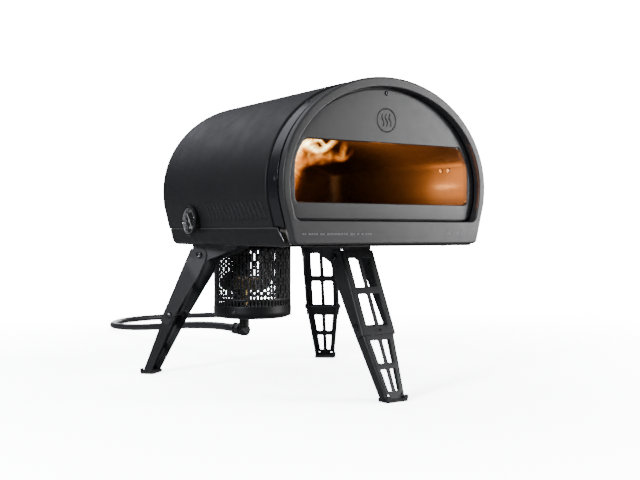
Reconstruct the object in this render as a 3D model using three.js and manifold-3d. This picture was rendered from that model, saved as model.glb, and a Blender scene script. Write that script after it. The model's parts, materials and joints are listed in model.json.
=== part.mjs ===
// Countertop gas pizza oven on three folding legs.
// Millimetres, +Z up. Y runs from the mouth (low) to the burner (high), and Y0 below is the
// front plane of the bezel. The exported origin is the centre of the oven's footprint.
import * as THREE from "three";
import { mergeVertices } from "three/addons/utils/BufferGeometryUtils.js";
import Module from "manifold-3d";

const wasm = await Module();
wasm.setup();

// ---------------------------------------------------------------- driving dimensions
const FRONT_TO_ORIGIN = 245.5; // bezel front plane to the middle of the footprint
const GAP = 0.3; // clearance between neighbouring pieces

const BODY = { a: 185, b: 158, zc: 315, bottom: 229, foot: 169.2, corner: 8 };
const OPENING = { a: 173, b: 142.5, zc: 316, bottom: 262.5, foot: 166.6, corner: 12 };
const BEZEL = { t: 12, chamfer: 2.5 };
const SEAL = { t: 7.6, outer: 4, inner: 10 };
const BAND = { y0: 20.2, y1: 47, inset: 2.2, t: 4 };
const SHELL = { y0: 20.2, y1: 390, inset: 6.8, t: 1.6 };
const JACKET = { y0: 48, y1: 398, t: 6.2, bottom: 253, chamfer: 2.5 };
const REAR = { t: 2, bottom: 252 };
const TRAY = { y0: 12.4, y1: 391, bottom: 226, t: 1.6, skirtTop: 252.4, half: 171, backInset: 12 };
const PLATE = { y0: 12.3, t: 1.7, gap: 4, screwZ: 450.5 };
const MOUTH = { half: 158, z0: 288.5, z1: 377.5, corner: 8 };
const LINER = { y0: 14.3, y1: 374, half: 163, floor: 262.5, spring: 350, top: 402, t: 1.5 };
const STONE = { w: 315, d: 336, t: 19, z0: 268.5, y0: 16, corner: 8 };
const RAILS = { xs: [-110, 0, 110], half: 12, tieHalf: 122, tieWide: 16, z0: 264.3, z1: 268 };
const BLANKET = { y0: 22, gap: 0.5, slabHalf: 158, slabY0: 21, slabZ0: 229.4 };
const BAND_SCREWS = [
  { side: -1, y: 27, angle: 2 }, { side: -1, y: 39, angle: 49 },
  { side: 1, y: 27, angle: 2 }, { side: 1, y: 39, angle: 49 },
];

const CAN = { y: 415, r: 69, t: 1.4, z0: 94, z1: 221.4, band: 19 };
const SLOT = { columns: 20, half: 2.4, halfHigh: 9, pitch: 40, first: 14, last: 12 };
const CAN_SCREW = { z: 105, angle: 213 };
const VALVE = { z: 152, r: 12, y0: 394, y1: 462, nozzle: 7, bore: 5 };
const STEM = { r: 4.2, collar: 6.6 };
const TUBE = { y: 364.5, r: 10.5, t: 1.6, top: 250 };
const HEAD = { neck: 12, half: 44, y0: 356.5, y1: 369.5, z0: 250.6, shoulder: 276, z1: 296, t: 1.6 };
const IGNITER = { x: 62, y: 363, z: 272.5, r: 3.2, wire: 0.9 };
const KNOB = { r: 19, y0: 489.5, y1: 511, grips: 10, gripR: 2.2, socket: 4.5 };
const INLET = { y: 447, z: 65, r: 8.6, top: 111, end: 472 };
const NUT = { across: 19, hexT: 9, sleeve: 8.9, length: 15.6 };
const HOSE = { r: 7.5, sides: 8, steps: 44 };
const REGULATOR = { y: 48, r: 26, low: -7, high: 19, inPort: 6, outPort: 7 };

const LEG = { z: 208, lean: 25, half: 31, t: 2, web: 20, end: 134, knee: 117.5, kneeN: 7.6 };
const SHIN = { half: 28.4, footHalf: 15.4, web: 17.7, head: 10, toe: 252 };
const BRACKET = { r: 13.5, outer: 28.6, inner: 26.7, back: 66, flange: 11.5, roofT: 2 };
const PIVOT = { hole: 3.3, shank: 3, head: 6, kneeHead: 5.6 };
const FOOT = { half: 21, deep: 28, high: 8, ahead: 26.5, corner: 9 };
const LEGS = [
  { name: "front", x: 0, y: 103.5, heading: 180 },
  { name: "rear_left", x: -116.4, y: 367.7, heading: 39.2 },
  { name: "rear_right", x: 116.4, y: 367.7, heading: -39.2 },
];
const DIAL = { x: -181, y: 292, z: 265, r: 25, probe: 2.6, probeLong: 31, hole: 3.4, turn: -52 };

// The hose is clamped level at the inlet, sags like a stiff beam until it touches the
// surface, then lies on it in one wide loop that ends in the regulator.
const HOSE_ROUTE = [
  [0, 488, 65], [0, 525, 64.5], [0, 570, 62.7], [1, 630, 58.7], [3, 700, 52.5],
  [5, 780, 44.2], [7, 870, 34.6], [8, 960, 25.7], [9, 1045, 18.7], [14, 1125, 13.7],
  [30, 1197, 10.6], [62, 1262, 8.7], [108, 1315, 8], [168, 1348, 7.8], [235, 1360, 7.8],
  [300, 1356, 7.8], [352, 1344, 7.8], [398, 1330, 7.8],
];

// ---------------------------------------------------------------- finishes
const finish = (color, roughness, metalness) => ({ color, roughness, metalness });
const SATIN = finish(0x6c6d70, 0.42, 0.55);
const BLACK_METAL = finish(0x141416, 0.4, 0.5);
const SILICONE = finish(0x2e3036, 0.72, 0);
const STEEL = finish(0xa9a8a5, 0.32, 1);
const BRASS = finish(0xb08a48, 0.3, 1);
const WOOL = finish(0xd8d2c0, 0.95, 0);
const STONE_FINISH = finish(0xcdbd9c, 0.9, 0);
const RUBBER = finish(0x17171a, 0.75, 0);
const WHITE = finish(0xf0f0ec, 0.5, 0);
const GLASS = finish(0xe8f0f2, 0.05, 0);
const CERAMIC = finish(0xe9e4d8, 0.4, 0);

// ---------------------------------------------------------------- solid helpers
function toSolid(geometry) {
  const bare = geometry.clone();
  bare.deleteAttribute("normal");
  bare.deleteAttribute("uv");
  const merged = mergeVertices(bare, 1e-4);
  return new wasm.Manifold(new wasm.Mesh({
    numProp: 3,
    vertProperties: new Float32Array(merged.attributes.position.array),
    triVerts: new Uint32Array(merged.index.array),
  }));
}

function toGeometry(solid) {
  const mesh = solid.getMesh();
  const geometry = new THREE.BufferGeometry();
  geometry.setAttribute("position", new THREE.BufferAttribute(mesh.vertProperties, 3));
  geometry.setIndex(new THREE.BufferAttribute(mesh.triVerts, 1));
  geometry.computeVertexNormals();
  return geometry;
}

const cut = (solid, tools) => tools.reduce((rest, tool) => rest.subtract(tool), solid);
const join = (solids) => solids.reduce((all, next) => all.add(next));

// A plane outline, drawn in X and Z, extruded along +Y from y0 to y1.
function alongY(shape, y0, y1, chamfer = 0) {
  const geometry = new THREE.ExtrudeGeometry(shape, {
    depth: y1 - y0 - 2 * chamfer, bevelEnabled: chamfer > 0, bevelSize: chamfer,
    bevelThickness: chamfer, bevelOffset: -chamfer, bevelSegments: 1, steps: 1,
  });
  geometry.rotateX(Math.PI / 2);
  geometry.translate(0, y1 - chamfer, 0);
  return toSolid(geometry);
}

// A plane outline, drawn in X and Y, extruded along +Z from z0 to z1.
function alongZ(shape, z0, z1) {
  const geometry = new THREE.ExtrudeGeometry(shape, { depth: z1 - z0, bevelEnabled: false });
  geometry.translate(0, 0, z0);
  return toSolid(geometry);
}

// A plane outline, drawn in Y and Z, extruded along +X from x0 to x1.
function alongX(shape, x0, x1) {
  const geometry = new THREE.ExtrudeGeometry(shape, { depth: x1 - x0, bevelEnabled: false });
  geometry.rotateX(Math.PI / 2).rotateZ(Math.PI / 2);
  geometry.translate(x0, 0, 0);
  return toSolid(geometry);
}

function box(x0, x1, y0, y1, z0, z1) {
  const geometry = new THREE.BoxGeometry(x1 - x0, y1 - y0, z1 - z0);
  geometry.translate((x0 + x1) / 2, (y0 + y1) / 2, (z0 + z1) / 2);
  return toSolid(geometry);
}

// A turned piece: profile points are [radius, height] along the axis.
function turned(profile, sides, axis = "z") {
  const points = profile.map(([r, h]) => new THREE.Vector2(r, h));
  if (THREE.ShapeUtils.area(points) < 0) points.reverse();
  const geometry = new THREE.LatheGeometry(points, sides);
  if (axis === "z") geometry.rotateX(Math.PI / 2);
  if (axis === "x") geometry.rotateZ(-Math.PI / 2);
  return toSolid(geometry);
}

const rod = (r, h0, h1, sides, axis) => turned([[0, h0], [r, h0], [r, h1], [0, h1]], sides, axis);

const polygon = (points) => new THREE.Shape(points.map(([a, b]) => new THREE.Vector2(a, b)));

// ---------------------------------------------------------------- outlines
// Points of an arc, centre (ca, cb), radii (ra, rb), from angle a0 to a1 in degrees.
function arc(ca, cb, ra, rb, a0, a1, steps) {
  return Array.from({ length: steps + 1 }, (_, i) => {
    const angle = THREE.MathUtils.degToRad(a0 + ((a1 - a0) * i) / steps);
    return [ca + ra * Math.cos(angle), cb + rb * Math.sin(angle)];
  });
}

// The barrel's section: flat bottom, sides that lean out, and a half ellipse on top.
function barrel({ a, b, zc, bottom, foot, corner }, inset = 0, floor = bottom + inset) {
  const steps = 30;
  const low = foot - inset;
  const right = [
    ...arc(low - corner, floor + corner, corner, corner, -90, -5, 3),
    [a - 2 - inset, zc - 25],
  ];
  const left = right.map(([x, z]) => [-x, z]).reverse();
  return [...right, ...arc(0, zc, a - inset, b - inset, 0, 180, steps), ...left];
}

function ring(outer, inner) {
  const shape = polygon(outer);
  shape.holes.push(new THREE.Path(inner.map(([a, b]) => new THREE.Vector2(a, b))));
  return shape;
}

// An arch open at the bottom, t thick inwards from the barrel's section, down to z = floor.
function arch(inset, t, floor, y0, y1, chamfer = 0) {
  const whole = alongY(ring(barrel(BODY, inset), barrel(BODY, inset + t)), y0, y1, chamfer);
  return whole.trimByPlane([0, 0, 1], floor);
}

const capsule = (x, z, halfWidth, halfHeight, r, steps = 2) => [
  ...arc(x + halfWidth - r, z - halfHeight + r, r, r, -90, 0, steps),
  ...arc(x + halfWidth - r, z + halfHeight - r, r, r, 0, 90, steps),
  ...arc(x - halfWidth + r, z + halfHeight - r, r, r, 90, 180, steps),
  ...arc(x - halfWidth + r, z - halfHeight + r, r, r, 180, 270, steps),
];

// ---------------------------------------------------------------- scene helpers
const oven = new THREE.Group();
oven.position.y = -FRONT_TO_ORIGIN;

function add(name, solid, { color, roughness, metalness }, parent = oven) {
  const material = new THREE.MeshStandardMaterial({ color, roughness, metalness });
  const mesh = new THREE.Mesh(toGeometry(solid), material);
  mesh.name = name;
  parent.add(mesh);
  return mesh;
}

// A domed screw head on a short shank, its axis along +Y, head towards low Y.
function screw(headR, headH, shankR, shankL) {
  return turned([
    [0, -headH], [headR * 0.7, -headH * 0.8], [headR, 0], [shankR, 0], [shankR, shankL], [0, shankL],
  ], 10, "y");
}

// ---------------------------------------------------------------- barrel and mouth
function mouthOutline() {
  const { half, z0, z1, corner } = MOUTH;
  const right = [
    ...arc(half - corner, z0 + corner, corner, corner, -90, 0, 3),
    [half, 332], [half - 1, 346], [half - 7, 361], [half - 13, 372], [half - 20, z1],
  ];
  return [...right, ...right.map(([x, z]) => [-x, z]).reverse()];
}

function buildFace() {
  const lip = ring(barrel(BODY), barrel(OPENING));
  add("front_bezel", alongY(lip, 0, BEZEL.t, BEZEL.chamfer), SATIN);

  const plate = ring(barrel(OPENING, PLATE.gap), mouthOutline());
  const plateSolid = alongY(plate, PLATE.y0, PLATE.y0 + PLATE.t);
  const screwHole = rod(2.1, 0, 2 * PLATE.y0, 10, "y").translate(0, 0, PLATE.screwZ);
  add("face_plate", plateSolid.subtract(screwHole), SATIN);
  const plateScrew = screw(3.6, 1.6, 1.8, 6).translate(0, PLATE.y0 - GAP, PLATE.screwZ);
  add("face_plate_screw", plateScrew, BLACK_METAL);

  const seal = ring(barrel(BODY, SEAL.outer), barrel(BODY, SEAL.inner));
  add("front_seal", alongY(seal, BEZEL.t + GAP, BEZEL.t + GAP + SEAL.t), RUBBER);
}

function buildShell() {
  const floor = TRAY.skirtTop + 1;
  const bandR = { a: BODY.a - BAND.inset, b: BODY.b - BAND.inset };
  const place = (solid, { side, y, angle }) => {
    const turn = THREE.MathUtils.degToRad(angle);
    const x = side * bandR.a * Math.cos(turn);
    const z = BODY.zc + bandR.b * Math.sin(turn);
    return solid.rotate([0, 0, side > 0 ? 90 : -90]).rotate([0, side > 0 ? -angle : angle, 0])
      .translate(x, y, z);
  };
  const holes = BAND_SCREWS.map((at) => place(rod(2.2, -5, 9, 10, "y"), at));
  const shell = arch(SHELL.inset, SHELL.t, floor, SHELL.y0, SHELL.y1);
  const { x, y, z, r } = DIAL;
  const dialHole = rod(DIAL.hole, -30, 60, 12, "x").translate(x, y, z);
  add("outer_shell", cut(shell, [...holes, dialHole]), BLACK_METAL);
  add("trim_band", cut(arch(BAND.inset, BAND.t, floor, BAND.y0, BAND.y1), holes), BLACK_METAL);
  BAND_SCREWS.forEach((at, i) => {
    add(`band_screw_${i + 1}`, place(screw(3.4, 1.5, 1.8, 6.2).translate(0, -GAP, 0), at), STEEL);
  });
  const jacket = arch(0, JACKET.t, JACKET.bottom, JACKET.y0, JACKET.y1, JACKET.chamfer);
  const seat = rod(r + 1, -20, 1.2, 24, "x").translate(x + 1.5, y, z);
  add("silicone_jacket", cut(jacket, [dialHole, seat]), SILICONE);

  const panelY = SHELL.y1 + 0.5;
  const panelShape = polygon(barrel(BODY, SHELL.inset + 0.2, REAR.bottom));
  const panel = alongY(panelShape, panelY, panelY + REAR.t);
  add("rear_panel", panel, BLACK_METAL);
}

function buildTray() {
  const { y0, y1, bottom, t, skirtTop, half, backInset } = TRAY;
  const section = { ...BODY, bottom, foot: BODY.foot + 0.4 };
  const outer = barrel(section);
  const inner = barrel(section, t + 1);
  const wide = alongY(ring(outer, inner), y0, y1);
  const side = polygon([
    [y0, bottom - 1], [y1 - 10, bottom - 1], [y1 - 3, bottom + 3], [y1, bottom + 10],
    [y1, skirtTop], [y0 + 21, skirtTop], [y0 + 9.5, bottom + 6], [y0, bottom + 2.2],
  ]);
  const keep = alongX(side, -200, 200);
  const flueHole = rod(TUBE.r + 1, 200, 300, 20, "z").translate(0, TUBE.y, 0);
  const dial = rod(DIAL.r + 1.2, -20, 4, 24, "x").translate(DIAL.x, DIAL.y, DIAL.z);
  const back = box(-half, half, y1 - backInset, y1 - backInset + t, bottom + 1, skirtTop);
  const tray = join([wide.intersect(keep), back]);
  add("base_tray", cut(tray, [flueHole, dial]), BLACK_METAL);
}

// ---------------------------------------------------------------- chamber
function linerOutline(inset) {
  const { half, floor, spring, top } = LINER;
  const w = half - inset;
  return [
    [-w, floor + inset], [w, floor + inset],
    ...arc(0, spring, w, top - spring - inset, 0, 180, 20),
  ];
}

function buildChamber() {
  const { y0, y1, half, floor, t } = LINER;
  const pan = join([
    alongY(ring(linerOutline(0), linerOutline(t)), y0, y1),
    alongY(polygon(linerOutline(0)), y1 - t, y1),
  ]);
  const flue = box(-HEAD.half - 3, HEAD.half + 3, HEAD.y0 - 1.5, HEAD.y1 + 1.5, floor - 5, floor + 5);
  const probe = rod(DIAL.hole, -40, 60, 12, "x").translate(DIAL.x, DIAL.y, DIAL.z);
  add("oven_liner", cut(pan, [flue, probe]), STEEL);

  const wrap = ring(barrel(BODY, SHELL.inset + SHELL.t + BLANKET.gap), linerOutline(-1));
  const wrapped = alongY(wrap, BLANKET.y0, SHELL.y1 - 1).trimByPlane([0, 0, 1], floor);
  const plug = alongY(polygon(linerOutline(-1)), y1 + 1, SHELL.y1 - 1);
  add("insulation_blanket", join([wrapped, plug]).subtract(probe), WOOL);

  const tubeHole = rod(TUBE.r + 0.8, 200, 300, 20, "z").translate(0, TUBE.y, 0);
  const headHalf = HEAD.half + 3;
  const headHole = box(-headHalf, headHalf, HEAD.y0 - 4.5, HEAD.y1 + 7.5, HEAD.z0 - 4.6, floor);
  const { slabHalf, slabY0, slabZ0 } = BLANKET;
  const slab = box(-slabHalf, slabHalf, slabY0, TRAY.y1 - TRAY.backInset - 2, slabZ0, floor - 1.5);
  add("floor_insulation", cut(slab, [tubeHole, headHole]), WOOL);

  const near = STONE.y0;
  const far = near + STONE.d;
  const bar = (x0, x1, from, to) => box(x0, x1, from, to, RAILS.z0, RAILS.z1);
  const rails = RAILS.xs.map((x) => bar(x - RAILS.half, x + RAILS.half, near, far));
  const { tieHalf, tieWide } = RAILS;
  const ties = [near, far - tieWide].map((y) => bar(-tieHalf, tieHalf, y, y + tieWide));
  add("stone_support", join([...rails, ...ties]), STEEL);
  const plan = polygon(capsule(0, (near + far) / 2, STONE.w / 2, STONE.d / 2, STONE.corner, 3));
  add("stone_floor", alongZ(plan, STONE.z0, STONE.z0 + STONE.t), STONE_FINISH);
}

// ---------------------------------------------------------------- thermometer
function buildThermometer() {
  const { x, y, z, r, probe: probeR, turn } = DIAL;
  const at = (solid) => solid.translate(x, y, z);
  // The dial faces -X: heights along the axis grow inwards.
  const shell = at(turned([
    [0, 0], [r - 1, 0], [r, -1.2], [r, -7.4], [r - 1.4, -9.2], [r - 3.2, -9.2], [r - 3.6, -3],
    [2.2, -3], [2.2, -2.2], [0, -2.2],
  ], 32, "x"));
  const probe = at(rod(probeR, -1, DIAL.probeLong, 12, "x"));
  add("thermometer_case", join([shell, probe]), BLACK_METAL);
  const dial = rod(r - 4, -4.1, -3.3, 28, "x").subtract(rod(probeR, -6, 0, 28, "x"));
  add("thermometer_dial", at(dial), BLACK_METAL);
  const glass = rod(r - 4, -8.8, -7.6, 28, "x");
  add("thermometer_glass", at(glass), GLASS);

  const pointer = new THREE.Group();
  pointer.position.set(x, y, z);
  pointer.rotation.x = THREE.MathUtils.degToRad(turn);
  const blade = alongX(polygon([[-8, -1.6], [0, -2.2], [19, -0.5], [19, 0.5], [0, 2.2], [-8, 1.6]]),
    -5.8, -4.9);
  const hub = rod(1.5, -6.6, -2.6, 12, "x");
  const boss = rod(3, -6.6, -5, 14, "x");
  add("thermometer_needle", join([blade, boss, hub]), WHITE, pointer);
  oven.add(pointer);
}

// ---------------------------------------------------------------- burner
function buildCan() {
  const { y, r, t, z0, z1, band } = CAN;
  const wall = turned([[r - t, z0 + 2], [r, z0 + 2], [r, z1], [r - t, z1], [r - t, z0 + 2]], 48);
  const slots = [];
  for (let i = 0; i < SLOT.columns; i += 1) {
    const offset = i % 2 ? SLOT.pitch / 2 : 0;
    for (let z = z0 + band + SLOT.first + offset; z < z1 - SLOT.last; z += SLOT.pitch) {
      const slot = box(r - 6, r + 4, -SLOT.half, SLOT.half, z - SLOT.halfHigh, z + SLOT.halfHigh);
      slots.push(slot.rotate([0, 0, (i + 0.5) * (360 / SLOT.columns)]));
    }
  }
  const stemHole = rod(7.5, 0, 90, 16, "y").translate(0, 0, VALVE.z);
  const can = cut(wall, [...slots, stemHole]).translate(0, y, 0);
  add("burner_can", can, BLACK_METAL);

  const cup = turned([
    [0, z0 - 2], [r - 6, z0 - 2], [r - 1, z0], [r + 2, z0 + 5], [r + 2, z0 + band],
    [r + 0.4, z0 + band], [r + 0.4, z0 + 1.4], [0, z0 + 1.4],
  ], 48).translate(0, y, 0);
  const inletHole = rod(INLET.r + 0.5, 80, 110, 20, "z").translate(0, INLET.y, 0);
  const aim = (solid) => solid.rotate([0, 0, CAN_SCREW.angle]).translate(0, y, CAN_SCREW.z);
  add("can_base", cut(cup, [inletHole, aim(rod(1.9, 40, 90, 10, "x"))]), BLACK_METAL);
  const cupScrew = screw(3.4, 1.4, 1.5, 1.3).rotate([0, 0, 90]).translate(r + 2 + GAP, 0, 0);
  add("can_base_screw", aim(cupScrew), STEEL);

  const lid = rod(r, z1 + GAP, z1 + 2.2, 48, "z").translate(0, y, 0);
  const lidHoles = [
    rod(TUBE.r + 1, 200, 240, 20, "z").translate(0, TUBE.y, 0),
    rod(2.6, 200, 240, 10, "z").translate(30, 380, 0),
    rod(2.6, 200, 240, 10, "z").translate(-30, 380, 0),
  ];
  add("can_lid", cut(lid, lidHoles), BLACK_METAL);
}

// Tube from the gas jet up through the lid to the flat burner head, and the spark electrode.
function buildBurner() {
  const path = new THREE.CatmullRomCurve3([
    [0, VALVE.y0 - 6, VALVE.z], [0, 378, VALVE.z], [0, TUBE.y + 3, VALVE.z + 4],
    [0, TUBE.y, VALVE.z + 16], [0, TUBE.y, 200], [0, TUBE.y, TUBE.top],
  ].map((p) => new THREE.Vector3(...p)));
  const sweep = (radius) => toSolid(new THREE.ExtrudeGeometry(
    polygon(arc(0, 0, radius, radius, 0, 330, 11)),
    { steps: 12, bevelEnabled: false, extrudePath: path },
  ));
  const bore = TUBE.r - TUBE.t;
  const ends = [
    rod(bore, TUBE.top - 10, TUBE.top + 10, 12, "z").translate(0, TUBE.y, 0),
    rod(bore, VALVE.y0 - 12, VALVE.y0, 12, "y").translate(0, 0, VALVE.z),
  ];
  add("burner_tube", cut(sweep(TUBE.r), [sweep(bore), ...ends]), STEEL);

  const funnel = (neck, wide, low, high) => polygon([
    [-neck, low], [neck, low], [wide, HEAD.shoulder], [wide, high], [-wide, high], [-wide, HEAD.shoulder],
  ]);
  const { neck, half, t } = HEAD;
  const outside = alongY(funnel(neck, half, HEAD.z0, HEAD.z1), HEAD.y0, HEAD.y1);
  const inside = alongY(funnel(neck - 2, half - 2, HEAD.z0 - 5.6, HEAD.z1 + 4), HEAD.y0 + t, HEAD.y1 - t);
  add("burner_head", outside.subtract(inside), STEEL);

  const electrode = join([rod(IGNITER.r, 0, 18, 12, "z"), rod(IGNITER.wire, 17, 24, 8, "z")]);
  add("igniter_electrode", electrode.translate(IGNITER.x, IGNITER.y, IGNITER.z), CERAMIC);
}

// Gas valve with its jet, and the push-and-turn knob on the valve's stem.
function buildValve() {
  const body = join([
    rod(VALVE.r, VALVE.y0 + 4, VALVE.y1, 20, "y"),
    rod(VALVE.nozzle, VALVE.y0 - 1, VALVE.y0 + 5, 16, "y"),
    rod(INLET.r - 1.5, INLET.top + 1 - VALVE.z, 0, 16, "z").translate(0, INLET.y, 0),
  ]).translate(0, 0, VALVE.z);
  const stemBore = rod(VALVE.bore, VALVE.y1 - 14, VALVE.y1 + 4, 16, "y").translate(0, 0, VALVE.z);
  add("gas_valve", body.subtract(stemBore), BRASS);
  const jet = turned([[0, -6], [1.5, -6], [4.5, -2], [4.5, 0], [0, 0]], 12, "y")
    .translate(0, VALVE.y0 - 1 - GAP, VALVE.z);
  add("gas_jet", jet, BRASS);

  const stem = join([
    rod(STEM.r, VALVE.y1 - 8, KNOB.y0 + 12, 16, "y"),
    rod(STEM.collar, VALVE.y1 + 5, VALVE.y1 + 7, 16, "y"),
  ]).translate(0, 0, VALVE.z);
  add("valve_stem", stem, STEEL);
  const { r, y0, y1, grips } = KNOB;
  const knob = turned([
    [0, y0], [r - 3, y0], [r, y0 + 3], [r - 2, y1 - 3], [r - 5, y1], [0, y1],
  ], 30, "y");
  const flutes = Array.from({ length: grips }, (_, i) => rod(KNOB.gripR, y0 + 4, y1 + 2, 10, "y")
    .translate(r + 0.6, 0, 0).rotate([0, (i * 360) / grips, 0]));
  const stemSocket = rod(KNOB.socket, y0 - 1, y0 + 12.4, 16, "y");
  add("control_knob", cut(knob, [...flutes, stemSocket]).translate(0, 0, VALVE.z), BLACK_METAL);
}

// ---------------------------------------------------------------- gas inlet and hose
// A hexagonal bar, `across` wide over its flats.
function hexagon(across, y0, y1) {
  const corner = across / Math.sqrt(3);
  return alongY(polygon(arc(0, 0, corner, corner, 0, 300, 5)), y0, y1);
}

function buildElbow() {
  const { y, z, r, top, end } = INLET;
  const elbow = join([
    rod(r, z - r, top, 18, "z").translate(0, y, 0),
    rod(r, y, end, 18, "y").translate(0, 0, z),
    hexagon(20, y + 10.5, y + 15).translate(0, 0, z),
  ]);
  add("gas_elbow", elbow, BLACK_METAL);
  const nut = join([
    hexagon(NUT.across, end + GAP, end + NUT.hexT),
    rod(NUT.sleeve, end + NUT.hexT - 1, end + NUT.length, 16, "y"),
  ]).translate(0, 0, z);
  add("hose_nut", nut, BRASS);
}

function buildHose() {
  const route = new THREE.CatmullRomCurve3(HOSE_ROUTE.map((p) => new THREE.Vector3(...p)));
  const section = polygon(arc(0, 0, HOSE.r, HOSE.r, 0, 360 - 360 / HOSE.sides, HOSE.sides - 1));
  const hose = new THREE.ExtrudeGeometry(section, {
    steps: HOSE.steps, bevelEnabled: false, extrudePath: route,
  });
  add("gas_hose", toSolid(hose), RUBBER);

  // The regulator follows on from the hose's last stretch, lying on the same surface.
  const [x1, y1, z1] = HOSE_ROUTE[HOSE_ROUTE.length - 1];
  const [x0, y0] = HOSE_ROUTE[HOSE_ROUTE.length - 2];
  const tail = new THREE.Group();
  tail.position.set(x1, y1, z1);
  tail.rotation.z = Math.atan2(y1 - y0, x1 - x0) - Math.PI / 2;
  add("hose_ferrule", join([rod(HOSE.r + 0.1, GAP, 18, 16, "y"), hexagon(13, 14, 22)]), BRASS, tail);
  const { r, low, high } = REGULATOR;
  const drum = turned([
    [0, low], [r - 4, low], [r, low + 4], [r, 6], [r - 4, 10], [r / 2, 14], [12, high], [0, high],
  ], 28).translate(0, REGULATOR.y, 0);
  const ports = join([
    rod(REGULATOR.inPort, 22.3, 30, 14, "y"), rod(REGULATOR.outPort, 66, 80, 14, "y"),
  ]);
  add("regulator", join([drum, ports]), STEEL, tail);
  add("regulator_nut", hexagon(14.4, 80 + GAP, 96), BRASS, tail);
  oven.add(tail);
}

// ---------------------------------------------------------------- legs
// A leg's own frame: X across the leg, Y its outward face, and -Z down the leg.
// N below is a distance outwards and L a distance down the leg, both from the pivot.
function legSide(points, half) {
  return alongX(polygon(points.map(([n, l]) => [n, -l])), -half, half);
}

// Two mirrored windows through the web, x0 to x1 either side of the middle and L0 to L1 down it.
function windowPair(x0, x1, l0, l1) {
  const opening = (from, to) => box(from, to, SHIN.web - 6, LEG.web + 5, -l1, -l0);
  return [opening(x0, x1), opening(-x1, -x0)];
}

// A trapezoid block: half-width w0 at L0, w1 at L1, from n0 to n1 outwards.
function taper(l0, w0, l1, w1, n0, n1) {
  return alongY(polygon([[-w0, -l0], [w0, -l0], [w1, -l1], [-w1, -l1]]), n0, n1);
}

const legHole = (n, l) => rod(PIVOT.hole, -40, 40, 14, "x").translate(0, n, -l);

// Folded channel: a web on the outside, and a flange down each edge.
function upperSegment() {
  const { half, t, web, end, knee, kneeN } = LEG;
  const top = arc(0, 0, BRACKET.r, BRACKET.r, 180, 90, 4).map(([n, l]) => [n, -l]);
  const outer = legSide([
    ...top, [web, -3], [web, end], [2, end], [-4, 100], [-BRACKET.r, 30],
  ], half);
  const inner = box(-half + t, half - t, -30, web - t, -end - 10, 30);
  const windows = [...windowPair(3.5, 19, 10, 58), ...windowPair(3.5, 19, 69, 108)];
  const notch = box(-5, 5, web - 3, web + 5, -128, -125);
  return cut(outer, [inner, ...windows, notch, legHole(0, 0), legHole(kneeN, knee)]);
}

// Narrower channel that tapers to the foot. Its head is round, so it turns inside the upper one.
function lowerSegment(ground) {
  const { knee, kneeN, t } = LEG;
  const { half, footHalf, web, head, toe } = SHIN;
  const side = legSide([
    ...arc(kneeN, knee, head, head, 180, 355, 8), [web, knee + 1.6], [web, toe - 2], [web - 14, toe - 2],
    [web - 18.5, 140], [kneeN - head, knee],
  ], 40);
  const outline = (inset, out) => taper(100, half - inset, 135, half - inset, -40, out)
    .add(taper(134.9, half - inset, toe, footHalf - inset, -40, out));
  const shell = side.intersect(outline(0, 40)).subtract(outline(t, web - t));
  const windows = [...windowPair(3.5, 16, 142, 177), ...windowPair(3.5, 11.5, 188, 222)];
  return cut(shell, [...windows, legHole(kneeN, knee), ground]);
}

function buildLeg({ name, x, y, heading }) {
  const { z, lean, half, knee, kneeN } = LEG;
  const lift = THREE.MathUtils.degToRad(lean);
  const turn = new THREE.Group();
  turn.position.set(x, y, z);
  turn.rotation.z = THREE.MathUtils.degToRad(heading);
  oven.add(turn);
  const leg = new THREE.Group();
  leg.rotation.x = lift;
  turn.add(leg);
  const ground = new THREE.Group();
  ground.position.z = -z;
  turn.add(ground);

  // Bracket, in the unleaned frame: Y outwards, Z up from the pivot.
  const { r, outer, inner, back, flange, roofT } = BRACKET;
  const roof = TRAY.bottom - z - GAP;
  const under = roof - 0.3;
  const ear = polygon([...arc(0, 0, r, r, 0, -110, 6), [-back, flange], [-back, under], [r, under]]);
  const bracket = join([
    alongX(ear, inner, outer),
    alongX(ear, -outer, -inner),
    box(-outer, outer, -back, r, roof - roofT, roof),
  ]);
  add(`${name}_leg_bracket`, bracket.subtract(legHole(0, 0)), BLACK_METAL, turn);

  add(`${name}_leg_upper`, upperSegment(), BLACK_METAL, leg);
  const underFoot = box(-60, 60, 0, 200, -20, FOOT.high + GAP).translate(0, 0, -z).rotate([-lean, 0, 0]);
  add(`${name}_leg_lower`, lowerSegment(underFoot), BLACK_METAL, leg);

  const front = z * Math.tan(lift) + FOOT.ahead;
  const profile = alongX(polygon([
    [front - FOOT.deep, 0], [front - 3, 0], [front, 3], [front, 6.5], [front - 1.5, FOOT.high],
    [front - FOOT.deep, FOOT.high],
  ]), -FOOT.half, FOOT.half);
  const plan = polygon(capsule(0, front - FOOT.deep / 2, FOOT.half, FOOT.deep / 2, FOOT.corner));
  const pad = profile.intersect(alongZ(plan, -1, FOOT.high + 1));
  add(`${name}_foot_pad`, pad, RUBBER, ground);

  const mirrored = (solid, side) => (side > 0 ? solid : solid.rotate([0, 0, 180]))
    .translate(side * (half + GAP), 0, 0);
  const bolt = turned([
    [0, 4.2], [4.2, 3.2], [PIVOT.head, 0.6], [PIVOT.head, 0], [PIVOT.shank, 0], [PIVOT.shank, -7], [0, -7],
  ], 12, "x");
  [-1, 1].forEach((side, i) => {
    add(`${name}_pivot_bolt_${i + 1}`, mirrored(bolt, side), STEEL, turn);
  });
  const pinHead = turned([
    [0, 3.6], [4, 2.8], [PIVOT.kneeHead, 0.6], [PIVOT.kneeHead, 0], [0, 0],
  ], 12, "x");
  const kneePin = join([
    rod(PIVOT.shank, -half - 0.4, half + 0.4, 14, "x"),
    mirrored(pinHead, -1),
    mirrored(pinHead, 1),
  ]).translate(0, kneeN, -knee);
  add(`${name}_knee_pin`, kneePin, STEEL, leg);
}

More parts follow.
